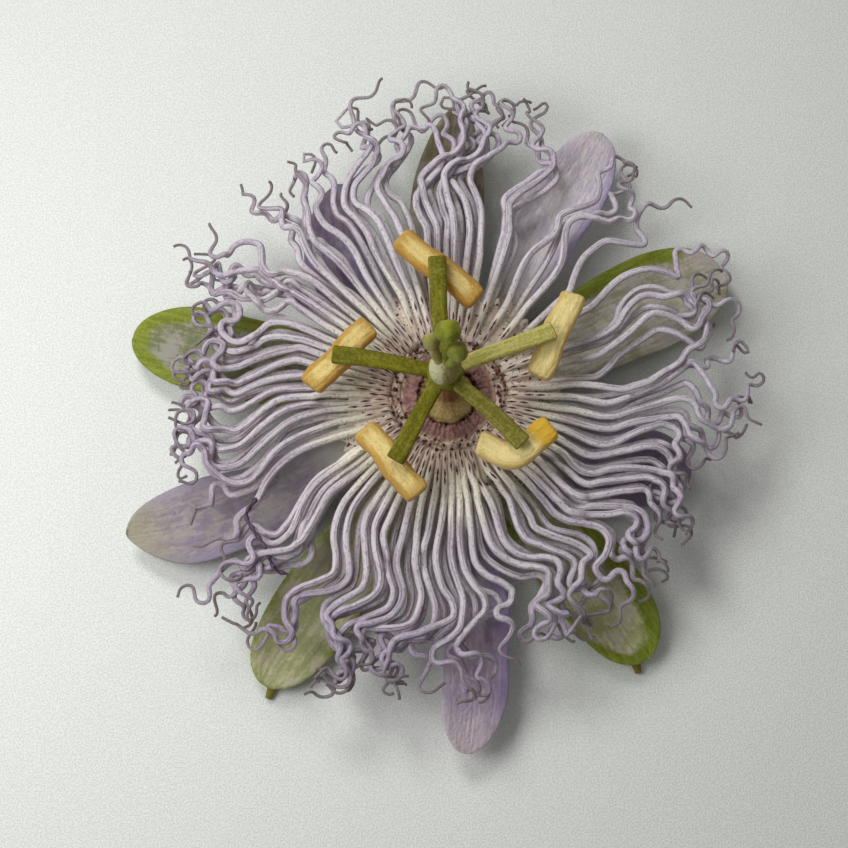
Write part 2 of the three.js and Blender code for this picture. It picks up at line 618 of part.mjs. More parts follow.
add('floral_cup', floralCup(), CUP_GREEN);
SEPALS.forEach((blade, index) => add(`sepal_${index + 1}`, sepal(blade), SEPAL_GREEN));
PETALS.forEach((blade, index) => add(`petal_${index + 1}`, petal(blade), PETAL_LAVENDER));
add('corona_outer', coronaRow(OUTER_ROW), OUTER_LILAC);
add('corona_inner', coronaRow(INNER_ROW), INNER_LILAC);
add('corona_fringe', coronaFringe(), FRINGE_PURPLE);
add('operculum', operculum(), LID_MAUVE);
add('stamen_column', stamenColumn(), COLUMN_OLIVE);
ANTHERS.forEach((places, index) => add(`anther_${index + 1}`, anther(places), POLLEN_YELLOW));
add('ovary', ovary(), OVARY_PALE);
STYLES.forEach((stalk, index) => add(`style_${index + 1}`, style(stalk), STIGMA_GREEN));

export default flower;
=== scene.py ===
"""A passion flower lying open on its back on a pale sheet, dressed piece by piece from the stalk
scar up: cup, sepals, petals, the rows of filaments, the lid, the column and its stamens, the ovary
and the styles. Sizes are in millimetres and degrees, and become metres where a mesh is made."""

import math
import random

import bpy
import numpy as np
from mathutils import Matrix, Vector
from mathutils.kdtree import KDTree


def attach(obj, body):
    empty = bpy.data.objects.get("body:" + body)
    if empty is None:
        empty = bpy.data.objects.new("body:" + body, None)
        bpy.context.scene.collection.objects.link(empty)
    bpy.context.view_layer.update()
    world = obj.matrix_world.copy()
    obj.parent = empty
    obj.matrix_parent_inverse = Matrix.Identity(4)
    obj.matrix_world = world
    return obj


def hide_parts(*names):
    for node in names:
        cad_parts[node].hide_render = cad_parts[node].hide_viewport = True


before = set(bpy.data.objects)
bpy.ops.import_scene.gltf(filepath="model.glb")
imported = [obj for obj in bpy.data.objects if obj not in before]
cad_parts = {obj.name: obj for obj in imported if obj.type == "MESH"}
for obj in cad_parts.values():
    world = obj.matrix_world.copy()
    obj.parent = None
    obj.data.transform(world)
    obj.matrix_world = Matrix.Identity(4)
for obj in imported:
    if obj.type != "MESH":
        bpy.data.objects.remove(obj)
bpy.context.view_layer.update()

# Camera. It looks down on the flower from a steep angle, with a long lens and no blur, and aims
# at the middle of the bloom.
MM = 0.001
CAMERA_ELEVATION = math.radians(75)
CAMERA_DISTANCE = 220 * MM
CAMERA_AIM = Vector((-2.66, -3.1, 6.17)) * MM
CAMERA_LENS = 84.24

camera = bpy.data.objects.new("camera", bpy.data.cameras.new("camera"))
backward = Vector((0, -math.cos(CAMERA_ELEVATION), math.sin(CAMERA_ELEVATION)))
camera.location = CAMERA_AIM + CAMERA_DISTANCE * backward
camera.rotation_euler = (math.pi / 2 - CAMERA_ELEVATION, 0, 0)
camera.data.lens = CAMERA_LENS
camera.data.clip_start = 0.01
bpy.context.scene.collection.objects.link(camera)
bpy.context.scene.camera = camera
bpy.context.scene.view_settings.view_transform = "Standard"


# Sheet and light. A pale matte sheet carries the flower. A wide soft lamp behind the flower's
# upper edge throws short soft shadows towards the camera, a second one on the left makes the
# sheet dim towards the right, and the room fills the shadows.
class Tone:
    """A value or colour that a node gives. Arithmetic on tones adds Math nodes."""

    def __init__(self, nodes, socket):
        self.nodes = nodes
        self.socket = socket

    def math(self, operation, first, second):
        return self.nodes.node("ShaderNodeMath", {"operation": operation}, [first, second])

    def __add__(self, other):
        return self.math("ADD", self, other)

    def __sub__(self, other):
        return self.math("SUBTRACT", self, other)

    def __rsub__(self, other):
        return self.math("SUBTRACT", other, self)

    def __mul__(self, other):
        return self.math("MULTIPLY", self, other)

    def __truediv__(self, other):
        return self.math("DIVIDE", self, other)

    def __abs__(self):
        return self.math("ABSOLUTE", self, 0.0)

    __radd__ = __add__
    __rmul__ = __mul__


class Nodes:
    """A node tree that is filled through node()."""

    def __init__(self, tree):
        self.tree = tree

    def feed(self, socket, value):
        if isinstance(value, Tone):
            self.tree.links.new(value.socket, socket)
        else:
            socket.default_value = value

    def node(self, kind, settings=None, inputs=(), output=0):
        """Adds a node: its settings first, then its inputs, by place or by name."""
        made = self.tree.nodes.new(kind)
        for name, value in (settings or {}).items():
            setattr(made, name, value)
        named = inputs.items() if isinstance(inputs, dict) else enumerate(inputs)
        for name, value in named:
            self.feed(made.inputs[name], value)
        return Tone(self, made.outputs[output])


class Finish(Nodes):
    """A material that ends in one Principled shader."""

    def __init__(self, name, constants):
        self.material = bpy.data.materials.new(name)
        self.material.use_nodes = True
        super().__init__(self.material.node_tree)
        self.shader = self.tree.nodes["Principled BSDF"]
        for socket, value in constants.items():
            self.shader.inputs[socket].default_value = value

    def stretched(self, vector, stretch):
        return self.node("ShaderNodeVectorMath", {"operation": "MULTIPLY"}, [vector, stretch])

    def place(self, stretch=(1, 1, 1)):
        """Where a point of the piece lies, in millimetres, stretched along the axes."""
        spot = self.node("ShaderNodeTexCoord", output="Object")
        return self.stretched(spot, [value / MM for value in stretch])

    def trait(self, stretch=(1, 1, 1), name="trait"):
        """A vector that the mesh carries, stretched along its axes."""
        carried = self.node("ShaderNodeAttribute", {"attribute_name": name}, output="Vector")
        return self.stretched(carried, stretch)

    def parts(self, vector):
        """The three numbers of a vector."""
        split = self.node("ShaderNodeSeparateXYZ", inputs=[vector]).socket.node
        return [Tone(self, socket) for socket in split.outputs]

    def radius(self):
        """Distance from the flower's axis, in millimetres."""
        spot = self.place((1, 1, 0))
        return self.node("ShaderNodeVectorMath", {"operation": "LENGTH"}, [spot], "Value")

    def noise(self, where, scale, detail=2.0, distortion=0.0):
        inputs = {"Vector": where, "Scale": scale, "Detail": detail, "Distortion": distortion}
        return self.node("ShaderNodeTexNoise", inputs=inputs)

    def mottle(self, scale, detail=2.0, stretch=(1, 1, 1)):
        """Noise by where a point of the piece lies."""
        return self.noise(self.place(stretch), scale, detail)

    def rise(self, value, start, end):
        """Runs smoothly from 0 at start to 1 at end."""
        settings = {"interpolation_type": "SMOOTHSTEP"}
        return self.node("ShaderNodeMapRange", settings, [value, start, end, 0.0, 1.0])

    def blend(self, share, low, high):
        """Runs from one colour to another."""
        inputs = {"Factor": share, 6: low, 7: high}
        return self.node("ShaderNodeMix", {"data_type": "RGBA"}, inputs, 2)

    def finish(self, color, roughness=None, height=None, depth=0.1):
        """Feeds the shader and gives its material; height raises it by up to depth millimetres."""
        self.feed(self.shader.inputs["Base Color"], color)
        if roughness is not None:
            self.feed(self.shader.inputs["Roughness"], roughness)
        if height is not None:
            bump = self.node("ShaderNodeBump", inputs={"Height": height, "Distance": depth * MM})
            self.feed(self.shader.inputs["Normal"], bump)
        return self.material


def paint(red, green, blue):
    """A colour from its everyday 0 to 255 values."""
    levels = [value / 255 for value in (red, green, blue)]
    return tuple([((v + 0.055) / 1.055) ** 2.4 if v > 0.04 else v / 12.92 for v in levels] + [1.0])


SHEET_HALF = 1500
SHEET_LEVEL = -0.02
# where each lamp stands, its disc's width, both in millimetres, its power and its colour
LAMPS = {
    "window": ((-80.0, 139.0, 192.0), 90.0, 0.257, (1.0, 0.99, 0.96)),
    "side": ((-90.0, -18.0, 110.0), 90.0, 0.106, (1.0, 0.99, 0.975)),
}
ROOM_LIGHT = 0.22
ROOM_COLOUR = (1.0, 0.985, 0.955, 1.0)


def sheet_finish():
    finish = Finish("sheet", {"Roughness": 0.8, "Specular IOR Level": 0.25})
    grain = finish.mottle(5.5, 2.0)
    cloud = finish.mottle(0.02)
    pale = finish.blend(finish.rise(grain, 0.35, 0.65), paint(207, 211, 208), paint(243, 246, 244))
    shaded = finish.blend(cloud, paint(222, 225, 222), paint(233, 236, 234))
    color = finish.blend(0.4, pale, shaded)
    return finish.finish(color, height=grain, depth=0.07)


corners = [(x * SHEET_HALF, y * SHEET_HALF, SHEET_LEVEL) for x, y in ((-1, -1), (1, -1), (1, 1), (-1, 1))]
sheet_mesh = bpy.data.meshes.new("sheet")
sheet_mesh.from_pydata([Vector(corner) * MM for corner in corners], [], [(0, 1, 2, 3)])
sheet_mesh.materials.append(sheet_finish())
sheet = bpy.data.objects.new("sheet", sheet_mesh)
bpy.context.scene.collection.objects.link(sheet)

for name, (place, width, power, color) in LAMPS.items():
    lamp = bpy.data.objects.new(name, bpy.data.lights.new(name, "AREA"))
    lamp.data.shape = "DISK"
    lamp.data.size = width * MM
    lamp.data.energy = power
    lamp.data.color = color
    lamp.location = Vector(place) * MM
    lamp.rotation_euler = lamp.location.to_track_quat("Z", "Y").to_euler()
    bpy.context.scene.collection.objects.link(lamp)

room = bpy.data.worlds.new("room")
room.use_nodes = True
room.node_tree.nodes["Background"].inputs["Color"].default_value = ROOM_COLOUR
room.node_tree.nodes["Background"].inputs["Strength"].default_value = ROOM_LIGHT
bpy.context.scene.world = room


# Floral cup. A shallow fleshy bowl with ten faint ribs, from which the whole bloom grows, and
# beneath it the scar where the stalk broke off. Everything above is seated on its rim.
class Skin:
    """Closed shells of one piece, gathered in millimetres and made into one mesh in metres.
    Each point carries a trait: three numbers that the piece's finish reads."""

    def __init__(self):
        self.points = np.zeros((0, 3))
        self.traits = np.zeros((0, 3))
        self.faces = []

    def add(self, points, faces, traits=None):
        """Adds one closed shell, turned right side out."""
        points = np.asarray(points, float)
        traits = np.zeros_like(points) if traits is None else traits
        volume = 0.0
        for face in faces:
            first = points[face[0]]
            for second, third in zip(face[1:-1], face[2:]):
                volume += np.dot(first, np.cross(points[second], points[third]))
        start = len(self.points)
        step = 1 if volume > 0 else -1
        self.faces += [tuple(start + corner for corner in face[::step]) for face in faces]
        self.points = np.vstack([self.points, points])
        self.traits = np.vstack([self.traits, traits])

    def piece(self, name, material):
        mesh = bpy.data.meshes.new(name)
        mesh.from_pydata((self.points * MM).tolist(), [], self.faces)
        mesh.polygons.foreach_set("use_smooth", [True] * len(mesh.polygons))
        carried = mesh.attributes.new("trait", "FLOAT_VECTOR", "POINT")
        carried.data.foreach_set("vector", self.traits.astype(np.float32).ravel())
        mesh.materials.append(material)
        return bpy.data.objects.new(name, mesh)


def polar(degrees, radius, height):
    angle = np.radians(degrees)
    return np.stack(np.broadcast_arrays(radius * np.cos(angle), radius * np.sin(angle), height), -1)


def round_turn(count):
    """Angles spaced evenly once round, in radians."""
    return np.linspace(0, 2 * math.pi, count, endpoint=False)


def ring_faces(rings, sides):
    """Four-cornered faces between rings of points that close on themselves."""
    faces = []
    for ring in range(rings - 1):
        for side in range(sides):
            after = (side + 1) % sides
            low = ring * sides
            faces.append((low + side, low + after, low + sides + after, low + sides + side))
    return faces


def closed_skin(rings, poles):
    """Points and faces of a skin over rings of points, closed at a pole before the first ring and
    at one past the last."""
    rings = np.asarray(rings)
    count, sides = rings.shape[:2]
    faces = ring_faces(count, sides)
    first_pole = count * sides
    last = (count - 1) * sides
    for side in range(sides):
        after = (side + 1) % sides
        faces.append((first_pole, after, side))
        faces.append((first_pole + 1, last + side, last + after))
    return np.vstack([rings.reshape(-1, 3), poles]), faces


LINE_FINENESS = 24


def smooth_line(places, count):
    """Points evenly spaced along a smooth curve through some places."""
    places = np.asarray(places, float)
    padded = np.vstack([2 * places[0] - places[1], places, 2 * places[-1] - places[-2]])
    fine = []
    for before, start, end, after in zip(padded, padded[1:], padded[2:], padded[3:]):
        for t in np.linspace(0, 1, LINE_FINENESS, endpoint=False):
            bend = 2 * before - 5 * start + 4 * end - after
            twist = 3 * start - before - 3 * end + after
            fine.append(start + 0.5 * t * ((end - before) + t * (bend + t * twist)))
    fine = np.array(fine + [places[-1]])
    lengths = np.concatenate([[0], np.cumsum(np.linalg.norm(np.diff(fine, axis=0), axis=1))])
    wanted = np.linspace(0, lengths[-1], count)
    return np.stack([np.interp(wanted, lengths, fine[:, axis]) for axis in range(fine.shape[1])], 1)


def seat(piece, node):
    """Puts a piece on the flower in place of its plain solid."""
    bpy.context.scene.collection.objects.link(piece)
    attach(piece, "root")
    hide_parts(node)


CUP_SEGMENTS = 120
CUP_OUTSIDE_RINGS = 30
CUP_INSIDE_RINGS = 12
CUP_RIBS = 10
CUP_RIB_DEPTH = 0.12
SCAR_RADIUS = 1.7
SCAR_LEVEL = 0.02
# radius and height from the scar up the outside, over the rim and down the inside
CUP_OUTSIDE = [(1.2, 0.04), (1.6, 0.02), (2.6, 0.3), (4.8, 1.1), (6.7, 2.4), (7.6, 3.7), (7.85, 4.9)]
CUP_RIM = [(7.8, 5.12), (7.6, 5.2), (4.6, 5.2), (4.4, 5.1)]
CUP_INSIDE = [(4.3, 4.4), (4.1, 3.4), (3.3, 2.6), (0.6, 2.6)]
CUP_GREEN = paint(122, 138, 62)
CUP_PALE = paint(168, 176, 112)
CUP_ROSE = paint(206, 178, 162)
SCAR_BROWN = paint(150, 128, 88)


def cup_finish():
    finish = Finish("cup_flesh", {"Specular IOR Level": 0.4, "Subsurface Weight": 0.1})
    radius = finish.radius()
    mottle = finish.mottle(1.4, 4.0)
    flesh = finish.blend(finish.rise(mottle, 0.3, 0.7), CUP_GREEN, CUP_PALE)
    scar = finish.blend(finish.mottle(5.0), SCAR_BROWN, CUP_PALE)
    _, _, height = finish.parts(finish.place())
    rimmed = finish.blend(finish.rise(height, 4.7, 5.1), flesh, CUP_ROSE)
    color = finish.blend(finish.rise(radius, 1.35, 1.75), scar, rimmed)
    fine = finish.mottle(6.0, 3.0)
    return finish.finish(color, roughness=0.45 + 0.25 * mottle, height=fine, depth=0.08)


def cup():
    wall = smooth_line(CUP_OUTSIDE, CUP_OUTSIDE_RINGS)
    profile = np.vstack([wall, CUP_RIM, smooth_line(CUP_INSIDE, CUP_INSIDE_RINGS)])
    turn = round_turn(CUP_SEGMENTS)
    rings = []
    for radius, height in profile:
        upward = min(height / CUP_OUTSIDE[-1][1], 1.0)
        ribbed = CUP_RIB_DEPTH * math.sin(math.pi * upward) if radius > SCAR_RADIUS else 0
        rings.append(polar(np.degrees(turn), radius + ribbed * np.cos(CUP_RIBS * turn), height))
    skin = Skin()
    skin.add(*closed_skin(rings, [(0, 0, SCAR_LEVEL), (0, 0, CUP_INSIDE[-1][1])]))
    seat(skin.piece("floral_cup_skin", cup_finish()), "floral_cup")


cup()


# Sepals. Five boat-shaped leaves grown from the cup's wall: fleshy, green on the back and along
# the turned-up rims, pale and softly streaked inside, with a horn behind the tip that ends in a
# brown point and props the blade off the sheet.
SEPAL_ROOT = (8.0, 3.4)
SEPAL_FOOT_SHARE = 0.62
SEPAL_THICKNESS = 0.8
HORN_RADII = (0.9, 0.8, 0.35)
HORN_ROOT_SHARE = 0.86
HORN_DROP = 0.4
HORN_CLEARANCE = 0.03
# where the horn bends: its share of the way out and of the root's height
HORN_SHOULDER = (0.55, 0.45)
HORN_RINGS = 16
HORN_SIDES = 12
# the horn's length in its trait starts past any blade's, and it turns brown between these
HORN_MARKS = (40.0, 45.0)
HORN_BROWNING = (41.0, 44.0)
BLADE_TIP_SHARE = 0.006
BLADE_THINNING = 0.9
BLADE_ROWS = 72
BLADE_COLUMNS = 48
# root angle, tip (degrees, radius, height), bend, half width, turned-up edge, (share of the length
# where it is broadest, two powers that round its tip), horn (degrees, radius)
SEPALS = [
    (28, (26.8, 35.6, 2.6), 1.2, 5.6, 1.3, (0.60, 2.8, 0.5), (26.6, 36.2)),
    (91, (87.6, 36.4, 4.0), 1.4, 4.3, 1.0, (0.50, 1.8, 0.6), (88.2, 36.0)),
    (166.5, (166.8, 36.9, 2.0), 0.9, 5.0, 1.1, (0.60, 2.7, 0.5), (167.0, 36.0)),
    (238, (237.3, 37.4, 1.6), 1.0, 4.6, 0.9, (0.66, 2.8, 0.5), (238.9, 38.3)),
    (309, (307.2, 36.0, 1.7), 0.9, 4.9, 1.2, (0.64, 2.8, 0.5), (305.0, 36.6)),
]
# the inside's two colours, and how wide the green rim is on the clockwise side, on the other side
# and round the tip; the second sepal's two colours are darker, as painted shade beneath the threads
SEPAL_INSIDES_AND_SHADE = [
    (paint(156, 152, 128), paint(194, 186, 176), -0.6, 1.7, -0.3),
    (paint(110, 106, 80), paint(142, 136, 114), -0.6, -0.6, -0.6),
    (paint(114, 118, 82), paint(156, 154, 134), 1.8, 1.4, 2.0),
    (paint(150, 152, 106), paint(186, 182, 142), 0.4, 0.4, 0.2),
    (paint(172, 170, 122), paint(212, 206, 174), 0.7, 2.3, 1.9),
]
SEPAL_GREEN = paint(102, 116, 24)
SEPAL_LEAF = paint(132, 144, 48)
SEPAL_BLOOM = paint(158, 148, 154)
HORN_BROWN = paint(120, 108, 44)


def turn_between(start, end):
    return (end - start + 180) % 360 - 180


def smooth_rise(value, start, end):
    share = np.clip((value - start) / (end - start), 0, 1)
    return share * share * (3 - 2 * share)


def blade_half(share, half, outline, foot_share):
    """Half width of a blade: narrow at its foot, broadest past the middle, closing at its tip."""
    broad, bluntness, fullness = outline
    swell = foot_share + (1 - foot_share) * smooth_rise(share, -0.15, broad)
    past = np.clip((share - broad) / (1 - broad), 0, 1)
    return half * swell * np.maximum(1 - past**bluntness, BLADE_TIP_SHARE) ** fullness


def blade_middle(blade, root, foot_share, ripple, aside):
    """Middle surface of a blade from its foot on the cup to its tip. ripple lifts it, and aside
    moves it sideways."""
    root_angle, (tip_angle, tip_radius, tip_height), bend, half, edge, outline = blade[:6]

    def middle(u, v):
        share = np.clip(u, 0, 1)
        angle = root_angle + turn_between(root_angle, tip_angle) * share**2
        radius = root[0] + (tip_radius - root[0]) * share + (u - share)
        rise = root[1] * (1 - share) ** 2 + 2 * bend * share * (1 - share) + tip_height * share**2
        width = blade_half(share, half, outline, foot_share)
        grown = smooth_rise(share, 0, 0.5)
        height = rise + edge * v * v * grown * width / half + ripple(share, v) * grown
        return polar(angle, radius, height) + polar(angle + 90, v * width + aside(share, v), 0)

    return middle


def blade_shell(middle, blade, foot_share, thickness, relief):
    """A blade's skin: two faces that thin out towards a shared rim. The trait of a point is its
    distance across and along the blade, and its distance from the edge, negative underneath."""
    u = np.sin(0.5 * math.pi * np.linspace(0, 1, BLADE_ROWS + 1))[:, None]
    v = np.linspace(-1, 1, BLADE_COLUMNS + 1)[None, :]
    step = 1e-3
    lengthways = middle(u + step, v) - middle(u - step, v)
    sideways = middle(u, v + step) - middle(u, v - step)
    normal = np.cross(lengthways, sideways)
    normal /= np.linalg.norm(normal, axis=2, keepdims=True)
    past = np.clip((u - BLADE_THINNING) / (1 - BLADE_THINNING), 0, 1)
    tip = np.where(past > 0, np.sqrt(np.clip(1 - past**2, 0.03, 1)), 1)
    body = 0.5 * thickness * (1 - np.abs(v) ** 6) ** 0.6 * tip
    above, below = [
        middle(u, v) + face * normal * (body + relief(u, v, face) * (1 - v**4) * tip)[..., None]
        for face in (1, -1)
    ]
    half = blade_half(u, blade[3], blade[5], foot_share)
    length = np.linalg.norm(middle(1.0, 0.0) - middle(0.0, 0.0))
    edge = np.minimum(half * (1 - np.abs(v)), (1 - u) * length)
    side = np.where(np.abs(v) < 1, np.maximum(edge, 0.01), 0)
    top_trait, low_trait = [
        np.stack(np.broadcast_arrays(v * half, u * length, face * side), -1) for face in (1, -1)
    ]

    wide = BLADE_COLUMNS + 1
    inner = BLADE_COLUMNS - 1
    under = (BLADE_ROWS + 1) * wide

    def top(row, column):
        return row * wide + column

    def low(row, column):
        return top(row, column) if column in (0, BLADE_COLUMNS) else under + row * inner + column - 1

    faces = []
    for row in range(BLADE_ROWS):
        for column in range(BLADE_COLUMNS):
            near, far = (row, column), (row + 1, column + 1)
            faces.append((top(*near), top(row + 1, column), top(*far), top(row, column + 1)))
            faces.append((low(*near), low(row, column + 1), low(*far), low(row + 1, column)))
    for row, turned in ((0, 1), (BLADE_ROWS, -1)):
        for column in range(BLADE_COLUMNS):
            corners = [top(row, column), top(row, column + 1), low(row, column + 1), low(row, column)]
            faces.append(tuple(dict.fromkeys(corners))[::turned])
    points = np.vstack([above.reshape(-1, 3), below[:, 1:-1].reshape(-1, 3)])
    traits = np.vstack([top_trait.reshape(-1, 3), low_trait[:, 1:-1].reshape(-1, 3)])
    return points, faces, traits


def loft_shell(path, corners, reference=(0.0, 0.0, 1.0)):
    """A closed skin round a path, from each point's corners given as (across, up)."""
    path = np.asarray(path, float)
    travel = np.gradient(path, axis=0)
    travel /= np.linalg.norm(travel, axis=1, keepdims=True)
    across = np.cross(travel, reference)
    across /= np.linalg.norm(across, axis=1, keepdims=True)
    upward = np.cross(across, travel)
    rings = path[:, None] + corners[..., :1] * across[:, None] + corners[..., 1:] * upward[:, None]
    return closed_skin(rings, path[[0, -1]])


def oval_corners(half_widths, half_heights, sides):
    angle = round_turn(sides)
    return np.stack([np.outer(half_widths, np.cos(angle)), np.outer(half_heights, np.sin(angle))], -1)


def sepal_finish(name, deep, pale, right_rim, left_rim, tip_rim):
    finish = Finish(name, {"Specular IOR Level": 0.25, "Subsurface Weight": 0.06})
    across, along, edge = finish.parts(finish.trait())
    fibres = finish.noise(finish.trait((2.6, 0.22, 0)), 1.0, 4.0, 0.3)
    blotches = finish.mottle(0.4, 4.0)
    fine = finish.mottle(2.6, 4.0)
    mottle = 0.3 * fibres + 0.5 * blotches + 0.2 * fine
    inside = finish.blend(finish.rise(mottle, 0.43, 0.57), deep, pale)
    bloom = finish.blend(finish.rise(blotches, 0.46, 0.66) * 0.4, inside, SEPAL_BLOOM)
    green = finish.blend(finish.rise(0.6 * fibres + 0.4 * fine, 0.35, 0.65), SEPAL_GREEN, SEPAL_LEAF)
    rim = right_rim + (left_rim - right_rim) * finish.rise(across, -0.5, 0.5)
    rim = rim + (tip_rim - rim) * finish.rise(along, 22.0, 28.0)
    margin = finish.rise(abs(edge) + 1.2 * blotches + 0.6 * fine - rim, 1.35, 0.3)
    face = finish.blend(margin, bloom, green)
    backed = finish.blend(finish.rise(edge, -0.25, 0.0), green, face)
    color = finish.blend(finish.rise(along, *HORN_BROWNING), backed, HORN_BROWN)
    height = 0.6 * fibres + 0.4 * fine
    return finish.finish(color, roughness=0.5 + 0.2 * blotches, height=height, depth=0.12)


def horn_shell(middle, spot):
    """The horn from the blade's keel down to its brown point just above the sheet."""
    keel = middle(HORN_ROOT_SHARE, 0.0) - (0, 0, HORN_DROP)
    ground = polar(*spot, HORN_RADII[-1] + HORN_CLEARANCE)
    shoulder = keel + HORN_SHOULDER[0] * (ground - keel)
    shoulder[2] = HORN_SHOULDER[1] * keel[2]
    path = smooth_line([keel, shoulder, ground], HORN_RINGS)
    share = np.linspace(0, 1, HORN_RINGS)
    radii = np.interp(share, [0, 0.5, 1], HORN_RADII)
    path[:, 2] = np.maximum(path[:, 2], radii + HORN_CLEARANCE)
    points, faces = loft_shell(path, oval_corners(radii, 0.8 * radii, HORN_SIDES))
    along = np.repeat(np.interp(share, (0, 1), HORN_MARKS), HORN_SIDES)
    along = np.concatenate([along, HORN_MARKS])
    return points, faces, np.stack([0 * along, along, 0 * along - 1], 1)


def sepal(number, blade):
    phase = random.Random(200 + number).uniform(0, 6)

    def ripple(share, v):
        fine = 0.10 * np.sin(17 * share + phase) * v**3
        return fine + 0.07 * np.sin(29 * share + 2 * phase) * v**4

    def relief(u, v, face):
        if face > 0:
            return 0.03 * np.cos(2 * math.pi * 3.5 * v) * smooth_rise(u, 0.05, 0.3)
        keel = 0.45 * np.exp(-((v / 0.1) ** 2)) * (1 - smooth_rise(u, 0.86, 0.98))
        return keel + 0.05 * np.cos(2 * math.pi * 3.5 * v)

    def aside(share, v):
        return 0.12 * v**3 * np.sin(11 * share + phase) * np.sin(math.pi * share)

    middle = blade_middle(blade, SEPAL_ROOT, SEPAL_FOOT_SHARE, ripple, aside)
    skin = Skin()
    skin.add(*blade_shell(middle, blade, SEPAL_FOOT_SHARE, SEPAL_THICKNESS, relief))
    skin.add(*horn_shell(middle, blade[-1]))
    name = f"sepal_{number + 1}"
    material = sepal_finish(name, *SEPAL_INSIDES_AND_SHADE[number])
    seat(skin.piece(name + "_blade", material), name)


for number, blade in enumerate(SEPALS):
    sepal(number, blade)


# Petals. Five thin strap-shaped blades set between the sepals and a little above them, lavender
# with darker purple streaks towards their waved edges, soft and slightly limp.
PETAL_ROOT = (8.25, 4.6)
PETAL_FOOT_SHARE = 0.45
PETAL_THICKNESS = 0.62
PETAL_WAVES = (0.30, 0.20, 0.35, 0.30, 0.30)
PETAL_SWAYS = (0.8, 0, 0, 0.9, 0)
# root angle, tip (degrees, radius, height), bend, half width, turned-up edge, (share of the length
# where it is broadest, two powers that round its tip)
PETALS = [
    (58, (60.4, 36.9, 4.6), 4.9, 4.2, 0.5, (0.62, 2.8, 0.5)),
    (133, (116.0, 29.0, 4.4), 4.6, 3.9, -1.2, (0.62, 3.2, 0.5)),
    (211, (202.8, 38.7, 2.4), 4.7, 4.8, 0.4, (0.72, 2.2, 0.7)),
    (275.5, (273.1, 39.1, 3.0), 4.5, 3.75, 0.5, (0.70, 2.3, 0.46)),
    (341, (342.5, 28.4, 2.6), 4.8, 4.5, -0.8, (0.62, 3.2, 0.5)),
]
# middle of the blade, its streaks, its edge on the clockwise and on the other side, its tip; the
# fifth petal's colours are darker, as painted shade beneath the threads
PETAL_COLOURS_AND_SHADE = [
    ((218, 208, 208), (194, 182, 196), (164, 150, 188), (194, 184, 198), (214, 202, 202)),
    ((150, 138, 156), (118, 104, 140), (130, 116, 150), (120, 106, 142), (150, 138, 158)),
    ((162, 152, 150), (138, 126, 142), (148, 138, 156), (140, 128, 154), (158, 154, 122)),
    ((190, 176, 188), (166, 148, 176), (176, 164, 182), (156, 136, 182), (194, 178, 182)),
    ((150, 136, 152), (118, 102, 138), (134, 118, 150), (128, 112, 146), (150, 136, 152)),
]
PETAL_FOOT_PALE = paint(196, 194, 182)


def petal_finish(name, half, middle, streak, right, left, tip):
    finish = Finish(name, {"Specular IOR Level": 0.2, "Sheen Weight": 0.1, "Subsurface Weight": 0.12})
    across, along, edge = finish.parts(finish.trait())
    streaks = finish.noise(finish.trait((0.9, 0.12, 0)), 1.0, 4.0, 0.6)
    veins = finish.noise(finish.trait((3.4, 0.2, 0)), 1.0, 2.0, 0.3)
    cloud = finish.mottle(0.3, 4.0)
    fine = finish.mottle(2.4, 4.0)
    wrinkles = finish.noise(finish.trait((1.3, 0.7, 0)), 1.0, 4.0, 0.8)
    mottle = 0.3 * streaks + 0.35 * cloud + 0.35 * wrinkles
    body = finish.blend(finish.rise(mottle, 0.44, 0.56), middle, streak)
    edging = finish.blend(finish.rise(across / half + 0.8 * cloud, -0.1, 0.9), right, left)
    edged = finish.blend(finish.rise(abs(edge) + 3.0 * cloud, 3.6, 1.6), body, edging)
    veined = finish.blend(finish.rise(0.6 * veins + 0.4 * fine, 0.48, 0.62) * 0.35, edged, streak)
    tipped = finish.blend(finish.rise(along + 4.0 * cloud, 26.0, 33.0) * 0.8, veined, tip)
    color = finish.blend(finish.rise(along + 2.0 * cloud, 3.0, 12.0), PETAL_FOOT_PALE, tipped)
    height = 0.5 * veins + 0.7 * fine + wrinkles
    return finish.finish(color, roughness=0.6 + 0.2 * cloud, height=height, depth=0.2)


def petal(number, blade):
    rng = random.Random(300 + number)
    left, right, slow = (rng.uniform(0, 6) for _ in range(3))

    def ripple(share, v):
        fold = PETAL_WAVES[number] * v * np.sin(7 * share + blade[0])
        low_edge = 0.22 * np.sin(15 * share + left) * np.clip(-v, 0, 1) ** 2.5
        high_edge = 0.22 * np.sin(17 * share + right) * np.clip(v, 0, 1) ** 2.5
        return fold + low_edge + high_edge + 0.12 * np.sin(9 * share + slow)

    def relief(u, v, face):
        veins = 0.018 * np.cos(2 * math.pi * 6 * v + 1.2 * np.sin(3 * u)) * smooth_rise(u, 0.05, 0.3)
        midrib = 0.06 * np.exp(-((v / 0.07) ** 2))
        return face * -(veins + midrib) * (1 - smooth_rise(u, 0.8, 1.0))

    def aside(share, v):
        notched = 0.24 * v**3 * np.sin(16 * share + left * (v > 0) + right * (v < 0))
        return (PETAL_SWAYS[number] + notched) * np.sin(math.pi * share)

    middle = blade_middle(blade, PETAL_ROOT, PETAL_FOOT_SHARE, ripple, aside)
    skin = Skin()
    skin.add(*blade_shell(middle, blade, PETAL_FOOT_SHARE, PETAL_THICKNESS, relief))
    name = f"petal_{number + 1}"
    material = petal_finish(name, blade[3], *(paint(*color) for color in PETAL_COLOURS_AND_SHADE[number]))
    seat(skin.piece(name + "_blade", material), name)


for number, blade in enumerate(PETALS):
    petal(number, blade)


